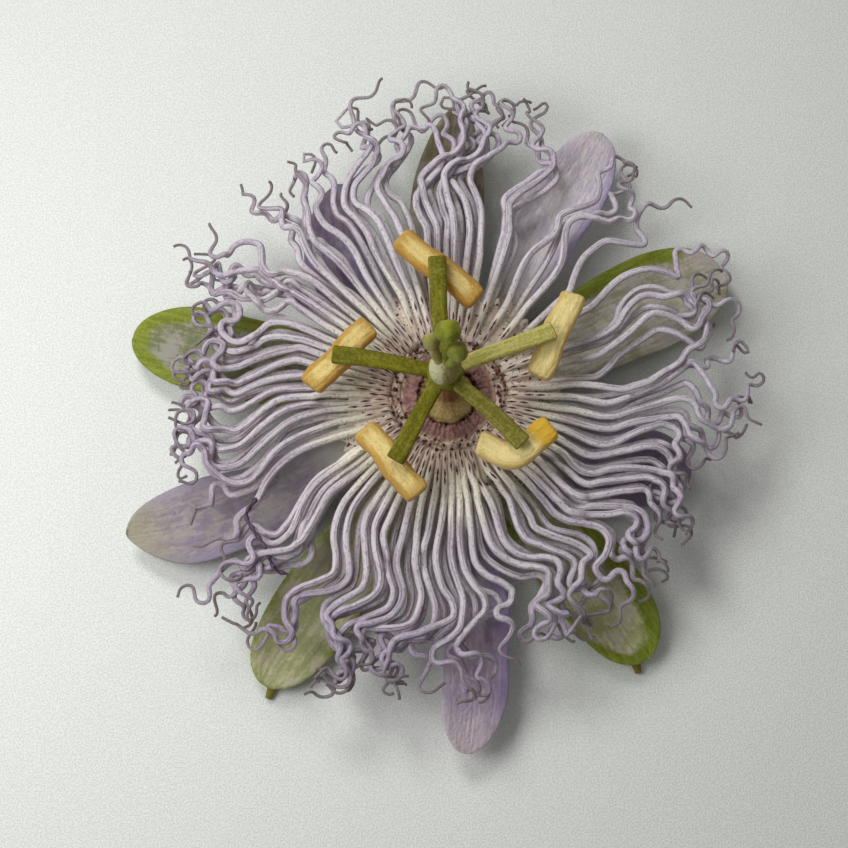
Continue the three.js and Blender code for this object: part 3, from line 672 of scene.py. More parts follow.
# Corona, the long rows. Two rings of soft threads stand on the cup's rim, one inside and above the
# other, joined at their feet in a pink fleshy collar. Each is cream with short dark dashes at its
# foot, greyish lilac further out, and crimps and crosses its neighbours towards its dark tip.
ROW_STRANDS = 64
STRAND_POINTS = 150
STRAND_SIDES = 8
ROWS = {
    "corona_outer": {"ring": (7.3, 7.85), "top": 6.5, "level": 6.6, "reach": 12.6, "slot": "filament_outer"},
    "corona_inner": {"ring": (6.45, 7.0), "top": 7.6, "level": 7.9, "reach": 11.2, "slot": "filament_inner"},
}
RIM_SEAT = 5.5
COLLAR_SEGMENTS = 360
COLLAR_SCALLOP = 0.3
# how far out of its ring a thread starts to turn towards its guide, and where it has joined it
BRIDGE_START = 0.9
BRIDGE_END = 2.0
BRIDGE_STEP = 1.8
CROWN_LIFT = 1.2
CROWN_SPAN = (8, 34)
# rounds in which each thread's foot moves halfway to the middle between its neighbours' feet
FOOT_ROUNDS = 14
FOOT_SINK = 0.3
COURSE_POINTS = 80
# a thread is drawn through every so many of its course's points
COURSE_STEP = 5
CURL_SIZE = 0.55
COMPANION_CURL = 1.2
CURL_LENGTHS = (2.6, 4.6)
# neighbouring courses lie this far apart where another thread fits between them
COMPANION_GAPS = (0.9, 3.6)
PARTING_ROUNDS = 14
PARTING_ASIDE = 0.2
PARTING_STEP = (0.12, 0.12, 0.4)
# points this near each other along one thread aren't parted, and how a push spreads along it
PARTING_NEAR = 14
PARTING_SPREAD = (0.1, 0.2, 0.3, 0.4, 0.3, 0.2, 0.1)
# distance from the axis at which a thread has each radius
STRAND_REACHES = (6.5, 8.5, 12.0, 20.0, 27.0, 33.0)
STRAND_RADII = (0.35, 0.36, 0.41, 0.42, 0.39, 0.30)
STRAND_TIP_RADIUS = 0.17
# Courses of the threads from the crown out to their tips, one to a line, each point given as
# degrees,radius.
GUIDES = """
3,10 3,15 1,17 1,21 4,23.5 7,26 10,27 11,28.5 14,29.5 18,30 19,32 17,33.7 13,32.8 11.5,31.5
8,13 7,17 12,19 17,23 17.5,25 14,27 10.5,29 14,30 19,30.5 22,31 24,32.5 22,33.5
20,14 19.5,19 23,22 24.5,24 22,26.5 19,28 19,29.5 21,30 24,29.5 26,31 25,33
22,15 21,18 25,21 28,22 29,25 25,28 22,29.5 19,29 17,28 15,29 15,31
31,17 31,19 34,22.5 33.5,25 31,27.5 28,28.5 27.5,29.5 32,30 31,32 29,34 27,35 24.5,34.5 21,33
41,18 45,21 46,23 45,25.5 42,26.5 39,28 38,29 40,29 43,29.5 45,31 43,33 42,35 39,36
48,13 48,18 50,20 55,23 54,25 48,26.5 46,28 45,30 50,31 51,33 50,34
57,12 60,18 57,22 58,24 53,28 55,30 56,32 55,34 53,35 51,33
66,12 66,18 68,20 71,22 69,24 66,26 64,28 66,29.5 69,29.5 71,31 74,33 76,34 78,34.5
69,13 71,18 72,22 74,24 71,26 69,28 66,30 68,31 71,32.5 73,34.5 71.5,36.5 74,36
77,16 80,21 83,24 84,26 80,28 77,30 75,31 77,32 79,35 77,36 75,35.5
82,15 83,20 85.5,23 90,25.5 84,27 81,30 84,33 85,35.5 82,36 80,34.5 79.5,32
88,16 88.5,20 90,23 91,25 88,27 85,27.5 81.5,30 83,33 84.5,36 86,37.5
90,20 92,22 92,24 88,26.5 86.5,29 87,33 87,36 83,36.5
94,19 96,22 97,25 93,27 87,28.5 86.5,31 88,35 91,36 94,34.5 95,32
97,19 99.5,21.5 99,23 96,24.5 91,27 92,30 94,32 98,31 101,31 102.5,33 106,33.5
102,20 103,23 106,25 104,27 100,29 98,31 101,34 98,36 94,37.5 90,37.5
110,22 112,24 107,27 104,28 101,28.5 101,31 104,31.5 107,31
110,12 111.5,18 112,22 115,24.5 113,26.5 108,28 106,30 106.5,32 109,33.5 112,33 112,31 110.5,31
115,12 116.5,17 116,21 118.5,24 117,26 112,28.5 108.5,29 106,31 107,33 109,34 108,36 104,37 101,38
121,10 120,15 119,19 119.5,23 121,25 117.5,28 117,31 115,33 113,32
129,11 128.5,16 127,20 129,22.5 131,24 127,27 124,29 122.5,31 124,32 127,29
129.5,13 129.5,19 130,23 127.5,26 125,28.5 123,31 122.5,32 124,32.5
133,12 134,16 133,20.5 129,24.5 131,27.5 134.5,29.5 134.5,31.5 133.5,33 134,34.5
136,14 137,18 138,22 135,24 132,27 130,29 128,30
140,15 140.5,20 143,23 147,24 144,25.5 141,27 144,29.5 148,29 149,30.5 147,31.5 143,33
144,15 145,20 145,22 149,22 153,23 154,25 155.5,27 155,29 157,30 156,31.5 155,32.5
147,14 147,20 146,25 148,26.5 150.5,28 152.5,30 151.5,32 150,33.5 151.5,35
151,16 150,19 149,20.5 152,21 155,22 154.5,24 151,25.5 149.5,24
154,16 155,20 156,21 161,22 165,24 163,25.5 159,25 157,27 158,29 161,28.5
158,17 159,20 163,22 168,23 169,25 165,26.5 161,26 159.5,27.5 161,29.5 165,28.5
162,17 165,20 170,23 172,25 168,26 166,27.5 169,28 172,27
165,17 169,19 174,22 177,24 175,26 171,27 172,29 175,28.5
172,17 174,19 178,22 179.5,24 176,26.5 174,28 176,29.5 179,28.5
176,14 178,19 181,22 182.5,24 180,26 177,27 175.5,28.5 178,29.5
181,12 181,16 182,19 188,22 190,24 188,26 183,27 181,28 182.5,29.5 187,29 189,30.5
184,14 185,18 189,21 192.5,24 190,27 188.5,28 185,28 182,29 184,30.5
187,13 189,17 194,21 198,24 198,26 192,27 189,28 190,30 192,31.5
191,14 193,18 197,20 202,23 203,25.5 199,27.5 194,27.5 190,28 191,30 195,31 198,30
196,13 198,17 200,20 205,24 203.5,26 199,27.5 193,28 194,30 199,29.5 200,31
203,14 203,17 205,20 208,22.5 211,24.5 212,27 215,28.5 214,30.5 212,32.5
214,13 214,17 217,20 220,23 220,25 216,25.5 215,27 215,29 218,31.5
217,14 218,18 222,21 226,24 225,26 221,27 221,29 224,31 226,33 229,33 230,31
222,15 222,18 226,21.5 231,24 228,26 225.5,28 224.5,30 228,32 229,34
222,13 222,17 226,22 226,25 222,27 222,30 219,30 219,32 222,34 220,35.5 218,34.5 218,37
227,13 228,17 232,20 237,22 239,24 236,26 233,28 233.5,30 238,32 236,33.5 232,33 230,35 226,34.5
231,13 232,17 236,20 241,22 243,24 240,26 235,28 236,30 239,32 237,33.5 234,33
235,13 236,17 240,20 244,23 244,24.5 241,26.5 242,28.5 246,29.5 250,31.5 249,33.5 245,34
240,13 241,17 246,20 250,23 249,25 245,27 243,28.5 247,30 250,31 250,33 246,34.5
243,14 245,18 252,22 252.5,24 248,26 244,28 245,30 248,31 251,32.5 249,34 248,36 245.5,37
246,14 247,18 252,21 255.5,24 252,26 248,28 246.5,29.5 249,31 252,32.5 251,34.5 248,35
252,13 253,17 254,20 258,23 257,25 254,26.5 250,27.5 251,29.5 254.5,30 253,32
257,13 258,17 260,20 263,23 262,25 260,26.5 256,27 252,28 252,29.5 255.5,31 258,33 261,32
263,11 262,16 261.5,19 265,22 266.5,24.5 265,27 261,28 258,29 258,31 261,31.5 260,34
268,12 267,15 266,19 268,22 271.5,24.5 268,26 264,27 260,28 257,30 259,32.5 262.5,32
272,11 271,16 270.5,19 273,22 274,24 272,27 268,28 265.5,29 268,30 272,30.5 273,32 274.5,34
275,12 273,16 273,19 276,22 276.5,24.5 274,27 270,28.5 273,30 275,32 274,34 271.5,34
278,11 276,15 275.5,20 278,22 284,24 279,25 276,26 272,27.5 275,28.7 279,30.5 278.5,32.5 275,33.5
283,11 282,15 281.5,18 285,20 291,22 297,23 292,25 287,28 289,28.5 292,29
286,11 287,16 289,19 294,21 300,22 300,23.5 296,25 294,27 293,29 295,29.5 297,30.5 300,30.5
290,10 294,13 291,17 293,19 298,21 302,22 301.5,24 298,26 296,27.5 299,28 301,30
296,10 299,13 296,17 297,19 300,20 304,22 306,23 303,24.5 301,26 303,27 306,27.5 306,30
302,11 302,16 301,18 305,20 309,22 310,24 305,24.5 301,26 299,28 299,29.5
310,11 310,16 310,19 315,21.5 317,23.5 313,25 308,25.5 309,27 313,28 310,30 306,31 304,31.5
315,11 314,16 314,19 321,22 325,24.5 320,25.5 318,27 320,28.5 322,29.5 319,30.5
318,12 316,17 318,19.5 325,23 327,25 323,27 319,25.5 316.5,27 317,29 315,31
321,13 318,18 323,20 330,22.5 332,24.5 330,26 326,27 324,28.5
327,14 324,18 329,20 335,23 336,25 332,26.5 330,28 329,30
331,13 328,17.5 333,20 338,24 338,26 335,27.5 332,28 331,29 329,31 327,30
336,13 334,17 340,20 344,23 343,25 340,26 335,27.5 331.5,27 332,25 336,24.5
341,13 340,18 347,21.5 351,24.5 347,26 341,26 338.5,27 338,28.5
346,13 345.5,18 350,21 353.5,25 351,26.5 347,28 346.5,30 349,31.5 352,32
351,14 350,18 354,21 358,25 357,27 353,28 352,30 354,31.5 357,32.5 353.5,34.5
357,14 355,18 360,21 364,25 367,27 361,29 357,30 360,33 363,35 364,33
"""
STRAND_FOOT = paint(238, 214, 194)
STRAND_DASH = paint(92, 46, 56)
STRAND_CREAM = paint(244, 237, 216)
# the dark lengthwise streaks, and the painted shade along each thread's sides
STRAND_STREAK_AND_SHADE = paint(136, 116, 132)
STRAND_LILAC = paint(218, 208, 212)
STRAND_MAUVE = paint(188, 174, 190)
STRAND_DUSK = paint(168, 150, 178)
# painted light, laid over the threads towards the top and right of the bloom
STRAND_PAINTED_LIGHT = paint(240, 232, 240)
STRAND_SPECK = paint(128, 110, 130)
STRAND_TIP = paint(124, 112, 116)
STRAND_DRY = paint(58, 46, 66)
STRAND_DUN = paint(98, 84, 100)
# a broken thread end, dried thin and dark, lying across the third petal: degrees, radius, height
DRY_END = [
    (209.5, 23.1, 9.0),
    (212.8, 25.9, 9.9),
    (216.8, 26.3, 9.9),
    (220.8, 26.4, 9.6),
    (226.8, 27.3, 9.2),
    (229.8, 26.8, 8.6),
]
DRY_RADIUS = 0.22
DRY_POINTS = 70


class Recipe(Nodes):
    """A Geometry Nodes tree with named inputs, which takes a curve and gives a mesh."""

    def __init__(self, name, sizes):
        super().__init__(bpy.data.node_groups.new(name, "GeometryNodeTree"))
        face = self.tree.interface
        face.new_socket("Geometry", in_out="INPUT", socket_type="NodeSocketGeometry")
        face.new_socket("Geometry", in_out="OUTPUT", socket_type="NodeSocketGeometry")
        for socket, kind in sizes.items():
            face.new_socket(socket, in_out="INPUT", socket_type="NodeSocket" + kind)
        self.source = self.tree.nodes.new("NodeGroupInput")

    def given(self, name):
        return Tone(self, self.source.outputs[name])

    def end(self, geometry):
        self.feed(self.tree.nodes.new("NodeGroupOutput").inputs[0], geometry)

    def made(self, name, source, values):
        """The plain mesh that the tree makes from a curve or mesh, as a new object."""
        shaper = bpy.data.objects.new(name + "_source", source)
        bpy.context.scene.collection.objects.link(shaper)
        modifier = shaper.modifiers.new("recipe", "NODES")
        modifier.node_group = self.tree
        for item in self.tree.interface.items_tree:
            if item.in_out == "INPUT" and item.name in values:
                modifier[item.identifier] = values[item.name]
        shaper.update_tag()
        graph = bpy.context.evaluated_depsgraph_get()
        mesh = bpy.data.meshes.new_from_object(shaper.evaluated_get(graph))
        mesh.name = name
        bpy.data.objects.remove(shaper)
        return bpy.data.objects.new(name, mesh)


def thread_recipe():
    """Sweeps a round section along threads. A point's trait is its length along the thread in
    millimetres, its share of that length and its thread's own number; turn is its place round
    the section."""
    recipe = Recipe("thread", {"Sides": "Int", "Seed": "Int", "Coat": "Material"})
    parameter = recipe.node("GeometryNodeSplineParameter")
    share, length = parameter, Tone(recipe, parameter.socket.node.outputs["Length"])
    index = recipe.node("GeometryNodeInputIndex")
    settings = {"domain": "CURVE", "data_type": "INT"}
    thread = recipe.node("GeometryNodeFieldOnDomain", settings, [index])
    inputs = {"ID": thread, "Seed": recipe.given("Seed")}
    number = recipe.node("FunctionNodeRandomValue", {"data_type": "FLOAT"}, inputs, 1)
    trait = recipe.node("ShaderNodeCombineXYZ", inputs=[length / MM, share, number])
    keep = {"data_type": "FLOAT_VECTOR", "domain": "POINT"}
    inputs = {"Geometry": recipe.given("Geometry"), "Name": "trait", "Value": trait}
    threads = recipe.node("GeometryNodeStoreNamedAttribute", keep, inputs)
    inputs = {"Resolution": recipe.given("Sides"), "Radius": 1.0}
    circle = recipe.node("GeometryNodeCurvePrimitiveCircle", inputs=inputs)
    spot = recipe.node("GeometryNodeInputPosition")
    inputs = {"Geometry": circle, "Name": "turn", "Value": spot}
    section = recipe.node("GeometryNodeStoreNamedAttribute", keep, inputs)
    radius = recipe.node("GeometryNodeInputRadius")
    inputs = {"Curve": threads, "Profile Curve": section, "Scale": radius, "Fill Caps": True}
    swept = recipe.node("GeometryNodeCurveToMesh", inputs=inputs)
    smooth = recipe.node("GeometryNodeSetShadeSmooth", inputs=[swept])
    real = recipe.node("GeometryNodeRealizeInstances", inputs=[smooth])
    inputs = {"Geometry": real, "Material": recipe.given("Coat")}
    recipe.end(recipe.node("GeometryNodeSetMaterial", inputs=inputs))
    return recipe


THREADS = thread_recipe()


def thread_piece(name, paths, radii, material, seed, sides=STRAND_SIDES):
    """One mesh of threads from their paths and radii in millimetres."""
    curve = bpy.data.curves.new(name, "CURVE")
    curve.dimensions = "3D"
    curve.twist_mode = "Z_UP"
    for path, radius in zip(paths, radii):
        spline = curve.splines.new("POLY")
        spline.points.add(len(path) - 1)
        places = np.concatenate([path * MM, np.ones((len(path), 1))], 1)
        spline.points.foreach_set("co", places.ravel())
        spline.points.foreach_set("radius", np.asarray(radius) * MM)
    return THREADS.made(name, curve, {"Sides": sides, "Seed": seed, "Coat": material})


def strand_finish(name):
    finish = Finish(name, {"Specular IOR Level": 0.16, "Subsurface Weight": 0.12, "Sheen Weight": 0.15})
    length, share, number = finish.parts(finish.trait())
    sideways, upright, _ = finish.parts(finish.trait(name="turn"))
    east, north, _ = finish.parts(finish.place())

    def marks(around, lengthways, detail=3.0):
        place = [sideways * around, upright * around, length * lengthways + number * 90.0]
        where = finish.node("ShaderNodeCombineXYZ", inputs=place)
        return finish.noise(where, 1.0, detail, 0.2)

    def dash(start, spread):
        """Short dark dashes along the middle of the thread, each thread's a little further out."""
        drawn = number * (40.0 * spread)
        chance = drawn.math("FRACT", drawn, 0.0)
        away = abs(radius - chance * spread - start) + 0.7 * grooves
        near = finish.rise(away, 1.05, 0.75)
        return near * finish.rise(abs(sideways) + 0.45 * away + 0.5 * speckles, 0.82, 0.64)

    radius = finish.radius()
    grooves = marks(1.9, 0.14)
    speckles = marks(2.2, 2.4, 4.0)
    foot = finish.rise(radius + 1.5 * speckles, 11.4, 8.6)
    pale = finish.blend(foot, STRAND_CREAM, STRAND_FOOT)
    lilac = finish.blend(finish.rise(grooves + 0.3 * speckles, 0.55, 0.85), STRAND_LILAC, STRAND_MAUVE)
    outer = finish.blend(finish.rise(speckles, 0.36, 0.66), STRAND_MAUVE, STRAND_DUSK)
    inward = finish.blend(finish.rise(radius + 3.0 * number, 12.0, 19.0), pale, lilac)
    body = finish.blend(finish.rise(radius + 3.0 * number, 23.0, 33.0), inward, outer)
    # painted light: threads towards the top and right of the bloom, some more than others, are painted
    # paler, as if more lit
    painted_light = finish.rise(north + 0.5 * east + 5.0 * number, -3.0, 22.0)
    painted_lit_body = finish.blend(painted_light * 0.4, body, STRAND_PAINTED_LIGHT)
    outward = finish.rise(radius, 10.0, 15.0)
    ridge = finish.rise(grooves, 0.55, 0.66) * 0.7
    # painted shade: each thread darkens towards its sides, as where its neighbours shade it, in the same
    # dark colour as its lengthwise streaks
    sides = finish.rise(abs(sideways) + 0.3 * speckles, 0.85, 1.15) * 0.6
    streaks_and_side_shade = ridge.math("MAXIMUM", ridge, sides) * (0.35 + 0.65 * outward)
    streaked_and_shaded = finish.blend(streaks_and_side_shade, painted_lit_body, STRAND_STREAK_AND_SHADE)
    specked = finish.blend(finish.rise(speckles, 0.55, 0.66) * 0.6, streaked_and_shaded, STRAND_SPECK)
    dashed = dash(7.0, 0.6)
    dashes = dashed.math("MAXIMUM", dashed, dash(8.1, 1.2))
    dashes = dashes.math("MAXIMUM", dashes, dash(9.3, 1.9) * finish.rise(number, 0.5, 0.52))
    marked = finish.blend(dashes, specked, STRAND_DASH)
    color = finish.blend(finish.rise(share + 0.1 * speckles, 0.84, 1.05), marked, STRAND_TIP)
    height = grooves + 0.5 * speckles
    return finish.finish(color, roughness=0.68 + 0.2 * speckles, height=height, depth=0.22)


def strand_courses():
    """The guides as smooth lines, with companions halfway between neighbours that leave room.
    A course is the angle it starts at, its line, and whether it is a companion's."""
    courses = []
    for guide in GUIDES.strip().split("\n"):
        degrees, radii = np.array([spot.split(",") for spot in guide.split()], float).T
        courses.append((degrees[0], smooth_line(polar(degrees, radii, 0.0), COURSE_POINTS), False))
    courses.sort(key=lambda course: course[0])
    companions = []
    for number, (angle, line, _) in enumerate(courses):
        next_angle, next_line, _ = courses[(number + 1) % len(courses)]
        middle = slice(10, 45)
        apart = np.linalg.norm(line[middle] - next_line[middle], axis=1).mean()
        if COMPANION_GAPS[0] < apart < COMPANION_GAPS[1]:
            start = (angle + (next_angle - angle) % 360 / 2) % 360
            companions.append((apart, (start, 0.5 * (line + next_line), True)))
    companions.sort(key=lambda companion: -companion[0])
    wanted = 2 * ROW_STRANDS - len(courses)
    courses += [course for _, course in companions[:wanted]]
    return sorted(courses, key=lambda course: course[0])


def sideways_of(path):
    """Level directions to the left of a path."""
    travel = np.gradient(path, axis=0)
    sideways = np.stack([-travel[:, 1], travel[:, 0]], 1)
    return sideways / (np.linalg.norm(sideways, axis=1, keepdims=True) + 1e-9)


def strand_path(line, foot_angle, row, curl, rng):
    """Course of one thread: up out of its ring, along its guide, curling at its end."""
    inner, outer = row["ring"]
    spread = np.linalg.norm(line[:, :2], axis=1)
    first = int(np.argmax(spread > outer + BRIDGE_END))
    start = outer + BRIDGE_START
    start_angle = math.degrees(math.atan2(line[first, 1], line[first, 0]))
    steps = max(int((spread[first] - start) / BRIDGE_STEP), 1)
    bridge = np.linspace(0, 1, steps, endpoint=False)
    eased = foot_angle + turn_between(foot_angle, start_angle) * smooth_rise(bridge, -0.2, 1.1)
    foot = polar(foot_angle, (inner + outer) / 2, np.array([RIM_SEAT + FOOT_SINK, row["top"] - FOOT_SINK]))
    joined = polar(eased, start + (spread[first] - start) * bridge, row["level"])
    beyond = np.vstack([joined, line[first::COURSE_STEP], line[-1:]])
    reach = np.linalg.norm(beyond[:, :2], axis=1)
    over = np.clip((reach - CROWN_SPAN[0]) / (CROWN_SPAN[1] - CROWN_SPAN[0]), 0, 1)
    beyond[:, 2] = row["level"] + CROWN_LIFT * np.sin(math.pi * over)
    path = smooth_line(np.vstack([foot, beyond]), STRAND_POINTS)
    pieces = np.linalg.norm(np.diff(path, axis=0), axis=1)
    length = np.concatenate([[0], np.cumsum(pieces)])
    share = length / length[-1]
    curled = curl * smooth_rise(share, 0.66, 0.9) * rng.uniform(0.6, 1.3)
    turn = 2 * math.pi * length / rng.uniform(*CURL_LENGTHS) + rng.uniform(0, 6)
    drift = 0.14 * smooth_rise(length, 8, 16) * np.sin(length / rng.uniform(1.6, 2.6) + rng.uniform(0, 6))
    path[:, :2] += (curled * np.sin(turn) + drift)[:, None] * sideways_of(path)
    sway = 0.35 * smooth_rise(length, 10, 22) * np.sin(length / rng.uniform(1.1, 1.8) + rng.uniform(0, 6))
    path[:, 2] += sway + 0.8 * np.minimum(curled, 0.6) * np.cos(turn)
    return path


def strand_radii(path):
    reach = np.maximum.accumulate(np.linalg.norm(path[:, :2], axis=1))
    radii = np.interp(reach, STRAND_REACHES, STRAND_RADII)
    tip = smooth_rise(np.linspace(0, 1, len(path)), 0.80, 1.0)
    return radii * (1 - tip) + STRAND_TIP_RADIUS * tip


def part_strands(paths, radii, rank):
    """Moves touching threads off each other: the one of higher rank goes up, and near the crown
    each goes towards its own side."""
    count = paths.shape[1]
    owner = np.repeat(np.arange(len(paths)), count)
    thick = radii.ravel()
    for _ in range(PARTING_ROUNDS):
        flat = paths.reshape(-1, 3)
        tree = KDTree(len(flat))
        for index, spot in enumerate(flat):
            tree.insert(spot, index)
        tree.balance()
        push = np.zeros_like(flat)
        for index, spot in enumerate(flat):
            for other_spot, other, distance in tree.find_range(spot, 2 * thick[index]):
                room = thick[index] + thick[other]
                near = owner[index] == owner[other] and abs(index - other) < PARTING_NEAR
                if other <= index or near or distance >= room:
                    continue
                away = spot - np.array(other_spot)
                apart = math.hypot(away[0], away[1])
                needed = max(math.sqrt(max(room**2 - apart**2, 0)) - abs(away[2]), 0)
                above = rank[owner[index]] > rank[owner[other]]
                ahead = (owner[index] - owner[other]) % len(paths) < len(paths) / 2
                aside = PARTING_ASIDE * (room - distance) * (1 if ahead else -1)
                outward = spot[:2] / max(math.hypot(spot[0], spot[1]), 0.1)
                shift = (-outward[1] * aside, outward[0] * aside, 0.3 * needed * (1 if above else -1))
                push[index] += shift
                push[other] -= shift
        push = np.clip(push, -np.array(PARTING_STEP), PARTING_STEP).reshape(paths.shape)
        smooth = np.apply_along_axis(np.convolve, 1, push, PARTING_SPREAD, "same")
        reach = np.linalg.norm(paths[..., :2], axis=2)
        held = smooth_rise(reach, 8.0, 11.0)
        smooth[..., :2] *= (1 - smooth_rise(reach, 20.0, 27.0))[..., None]
        paths += smooth * held[..., None]
        low = np.interp(reach, (26, 33, 38), (5.95, 5.3, 4.6))
        high = np.interp(reach, (12, 16), (8.6, 9.7))
        limited = np.clip(paths[..., 2], low, high)
        paths[..., 2] += (limited - paths[..., 2]) * held
    return paths


def hoop_shell(profile, segments, shaped=None):
    """A closed ring turned about the flower's axis. shaped(angle, corner) may shift each corner
    outward and upward."""
    turn = round_turn(segments)
    points = []
    for corner, (radius, height) in enumerate(profile):
        out, up = shaped(turn, corner) if shaped else (0, 0)
        points.append(polar(np.degrees(turn), radius + out, height + up))
    points = np.vstack(points)
    faces = ring_faces(len(profile) + 1, segments)
    return points, [tuple(corner % len(points) for corner in face) for face in faces]


def collar_finish(name):
    finish = Finish(name, {"Specular IOR Level": 0.25, "Subsurface Weight": 0.15})
    mottle = finish.mottle(1.8, 4.0)
    body = finish.blend(finish.rise(mottle, 0.36, 0.64), STRAND_FOOT, STRAND_CREAM)
    spots = finish.mottle(2.6, 2.0)
    color = finish.blend(finish.rise(spots, 0.60, 0.66), body, STRAND_DASH)
    return finish.finish(color, roughness=0.5 + 0.2 * mottle, height=mottle, depth=0.1)


def collar(name, row):
    """The fleshy ring that the row's threads rise from, thinning to a skirt beneath them."""
    inner, outer = row["ring"]
    level, reach = row["level"], row["reach"]
    profile = [
        (inner, RIM_SEAT), (outer, RIM_SEAT), (outer, level - 0.8), (reach, level - 0.5),
        (reach + 0.1, level - 0.35), (outer, level - 0.08), (inner + 0.1, row["top"] - 0.1),
    ]

    def shaped(turn, corner):
        scallop = COLLAR_SCALLOP * (np.cos(ROW_STRANDS * turn) + np.sin(7 * turn))
        return (scallop if corner in (3, 4) else 0), 0

    skin = Skin()
    skin.add(*hoop_shell(profile, COLLAR_SEGMENTS, shaped))
    seat(skin.piece(name + "_collar", collar_finish(name + "_collar")), name)


def corona():
    rng = random.Random(11)
    courses = strand_courses()
    feet = np.array([angle for angle, _, _ in courses], float)
    for _ in range(FOOT_ROUNDS):
        gaps = np.diff(feet, append=feet[0] + 360)
        feet += 0.25 * (gaps - np.roll(gaps, 1))
    names = list(ROWS)
    paths = []
    for number, (_, line, companion) in enumerate(courses):
        row = ROWS[names[number % 2]]
        curl = COMPANION_CURL if companion else CURL_SIZE
        paths.append(strand_path(line, feet[number], row, curl, rng))
    paths = np.array(paths)
    radii = np.array([strand_radii(path) for path in paths])
    rank = [number % 2 + rng.random() for number in range(len(paths))]
    paths = part_strands(paths, radii, rank)
    for parity, name in enumerate(names):
        coat = strand_finish(name + "_coat")
        piece = thread_piece(name + "_threads", paths[parity::2], radii[parity::2], coat, 7 + parity)
        seat(piece, name)
        collar(name, ROWS[name])


def dry_end():
    finish = Finish("dry_strand", {"Specular IOR Level": 0.2})
    mottle = finish.mottle(1.6, 4.0)
    color = finish.blend(finish.rise(mottle, 0.4, 0.6), STRAND_DRY, STRAND_DUN)
    coat = finish.finish(color, roughness=0.6 + 0.2 * mottle, height=mottle, depth=0.1)
    path = smooth_line([polar(*spot) for spot in DRY_END], DRY_POINTS)
    radii = DRY_RADIUS * (1 + 0.3 * np.sin(0.9 * np.arange(DRY_POINTS)))
    piece = thread_piece("dry_strand", [path], [radii], coat, 5)
    seat(piece, "corona_outer")


corona()
dry_end()


# Corona, the fringe. Inside the long rows a low fleshy ring carries three rows of short cream
# studs grown from it, most with a small dark purple head.
FRINGE_RING = [(5.3, 5.5), (6.4, 5.5), (6.4, 7.0), (6.1, 7.0), (5.5, 6.88), (5.3, 6.82)]
FRINGE_SEGMENTS = 160
STUD_SIDES = 6
STUD_POINTS = 12
STUD_SHARES = (0.0, 0.55, 0.72, 0.86, 0.96, 1.0)
STUD_SWELLS = (0.75, 0.8, 1.1, 1.15, 0.8, 0.3)
# how many studs, radius at foot and head, height of the head, radius of the head
STUD_ROWS = [(44, 5.6, 5.4, 7.5, 0.14), (50, 5.9, 5.9, 7.9, 0.15), (56, 6.2, 6.3, 8.3, 0.16)]
STUD_CREAM = paint(246, 232, 208)
STUD_ROSE = paint(222, 190, 174)
STUD_HEAD = paint(84, 42, 54)


def fringe_finish(name):
    """A point's share of its stud's length is the trait's second number; the ring has none."""
    finish = Finish(name, {"Specular IOR Level": 0.25, "Subsurface Weight": 0.15})
    _, share, number = finish.parts(finish.trait())
    mottle = finish.mottle(3.4, 4.0)
    body = finish.blend(finish.rise(mottle, 0.36, 0.60), STUD_CREAM, STUD_ROSE)
    head = finish.rise(share + 0.14 * number, 0.78, 0.84) * finish.rise(number, 0.28, 0.34)
    fleck = finish.rise(finish.mottle(2.6, 2.0), 0.62, 0.67)
    color = finish.blend(head.math("MAXIMUM", head, fleck), body, STUD_HEAD)
    return finish.finish(color, roughness=0.5 + 0.2 * mottle, height=mottle, depth=0.2)


def fringe():
    rng = random.Random(21)
    paths = []
    radii = []
    swell = np.interp(np.linspace(0, 1, STUD_POINTS), STUD_SHARES, STUD_SWELLS)
    for count, foot, head, height, thick in STUD_ROWS:
        for stud in range(count):
            angle = 360 * stud / count + rng.uniform(-2.2, 2.2)
            lean = rng.uniform(-9.0, 9.0)
            tall = height + rng.uniform(-0.6, 0.35)
            top = head + rng.uniform(-0.45, 0.45)
            middle = polar(angle + 0.3 * lean, foot, 0.5 * (FRINGE_RING[0][1] + tall))
            line = [polar(angle, foot, FRINGE_RING[0][1] + 0.4), middle, polar(angle + lean, top, tall)]
            paths.append(smooth_line(line, STUD_POINTS))
            radii.append(thick * swell)
    studs = thread_piece("fringe_studs", paths, radii, fringe_finish("fringe_stud"), 9, STUD_SIDES)
    seat(studs, "corona_fringe")
    skin = Skin()
    skin.add(*hoop_shell(FRINGE_RING, FRINGE_SEGMENTS))
    seat(skin.piece("fringe_ring", fringe_finish("fringe_foot")), "corona_fringe")


fringe()


# Lid. A finely pleated membrane that rises inside the fringe and leans in over the cup, mauve,
# with a crinkled dark purple lip standing free round the column's foot.
LID_SEGMENTS = 480
LID_PLEATS = 48
LID_PROFILE = [
    (4.45, 5.5), (5.28, 5.5), (5.28, 6.7), (5.05, 6.76), (4.65, 6.78), (4.2, 6.84),
    (3.8, 6.92), (3.5, 7.04), (3.36, 7.08), (3.28, 6.9), (3.42, 6.6), (3.7, 6.35), (4.1, 6.05),
]
# height of the pleats and of the crinkle at each corner of the profile
LID_FOLDS = (0, 0, 0.01, 0.02, 0.03, 0.03, 0.03, 0.03, 0.03, 0.03, 0.03, 0.03, 0.02)
LID_CRINKLES = (0, 0, 0, 0.02, 0.04, 0.06, 0.12, 0.28, 0.38, 0.3, 0.12, 0.02, 0)
LID_CREAM = paint(212, 184, 160)
LID_ROSE = paint(164, 124, 108)
LID_MAUVE = paint(130, 84, 94)
LID_LIP = paint(88, 40, 50)


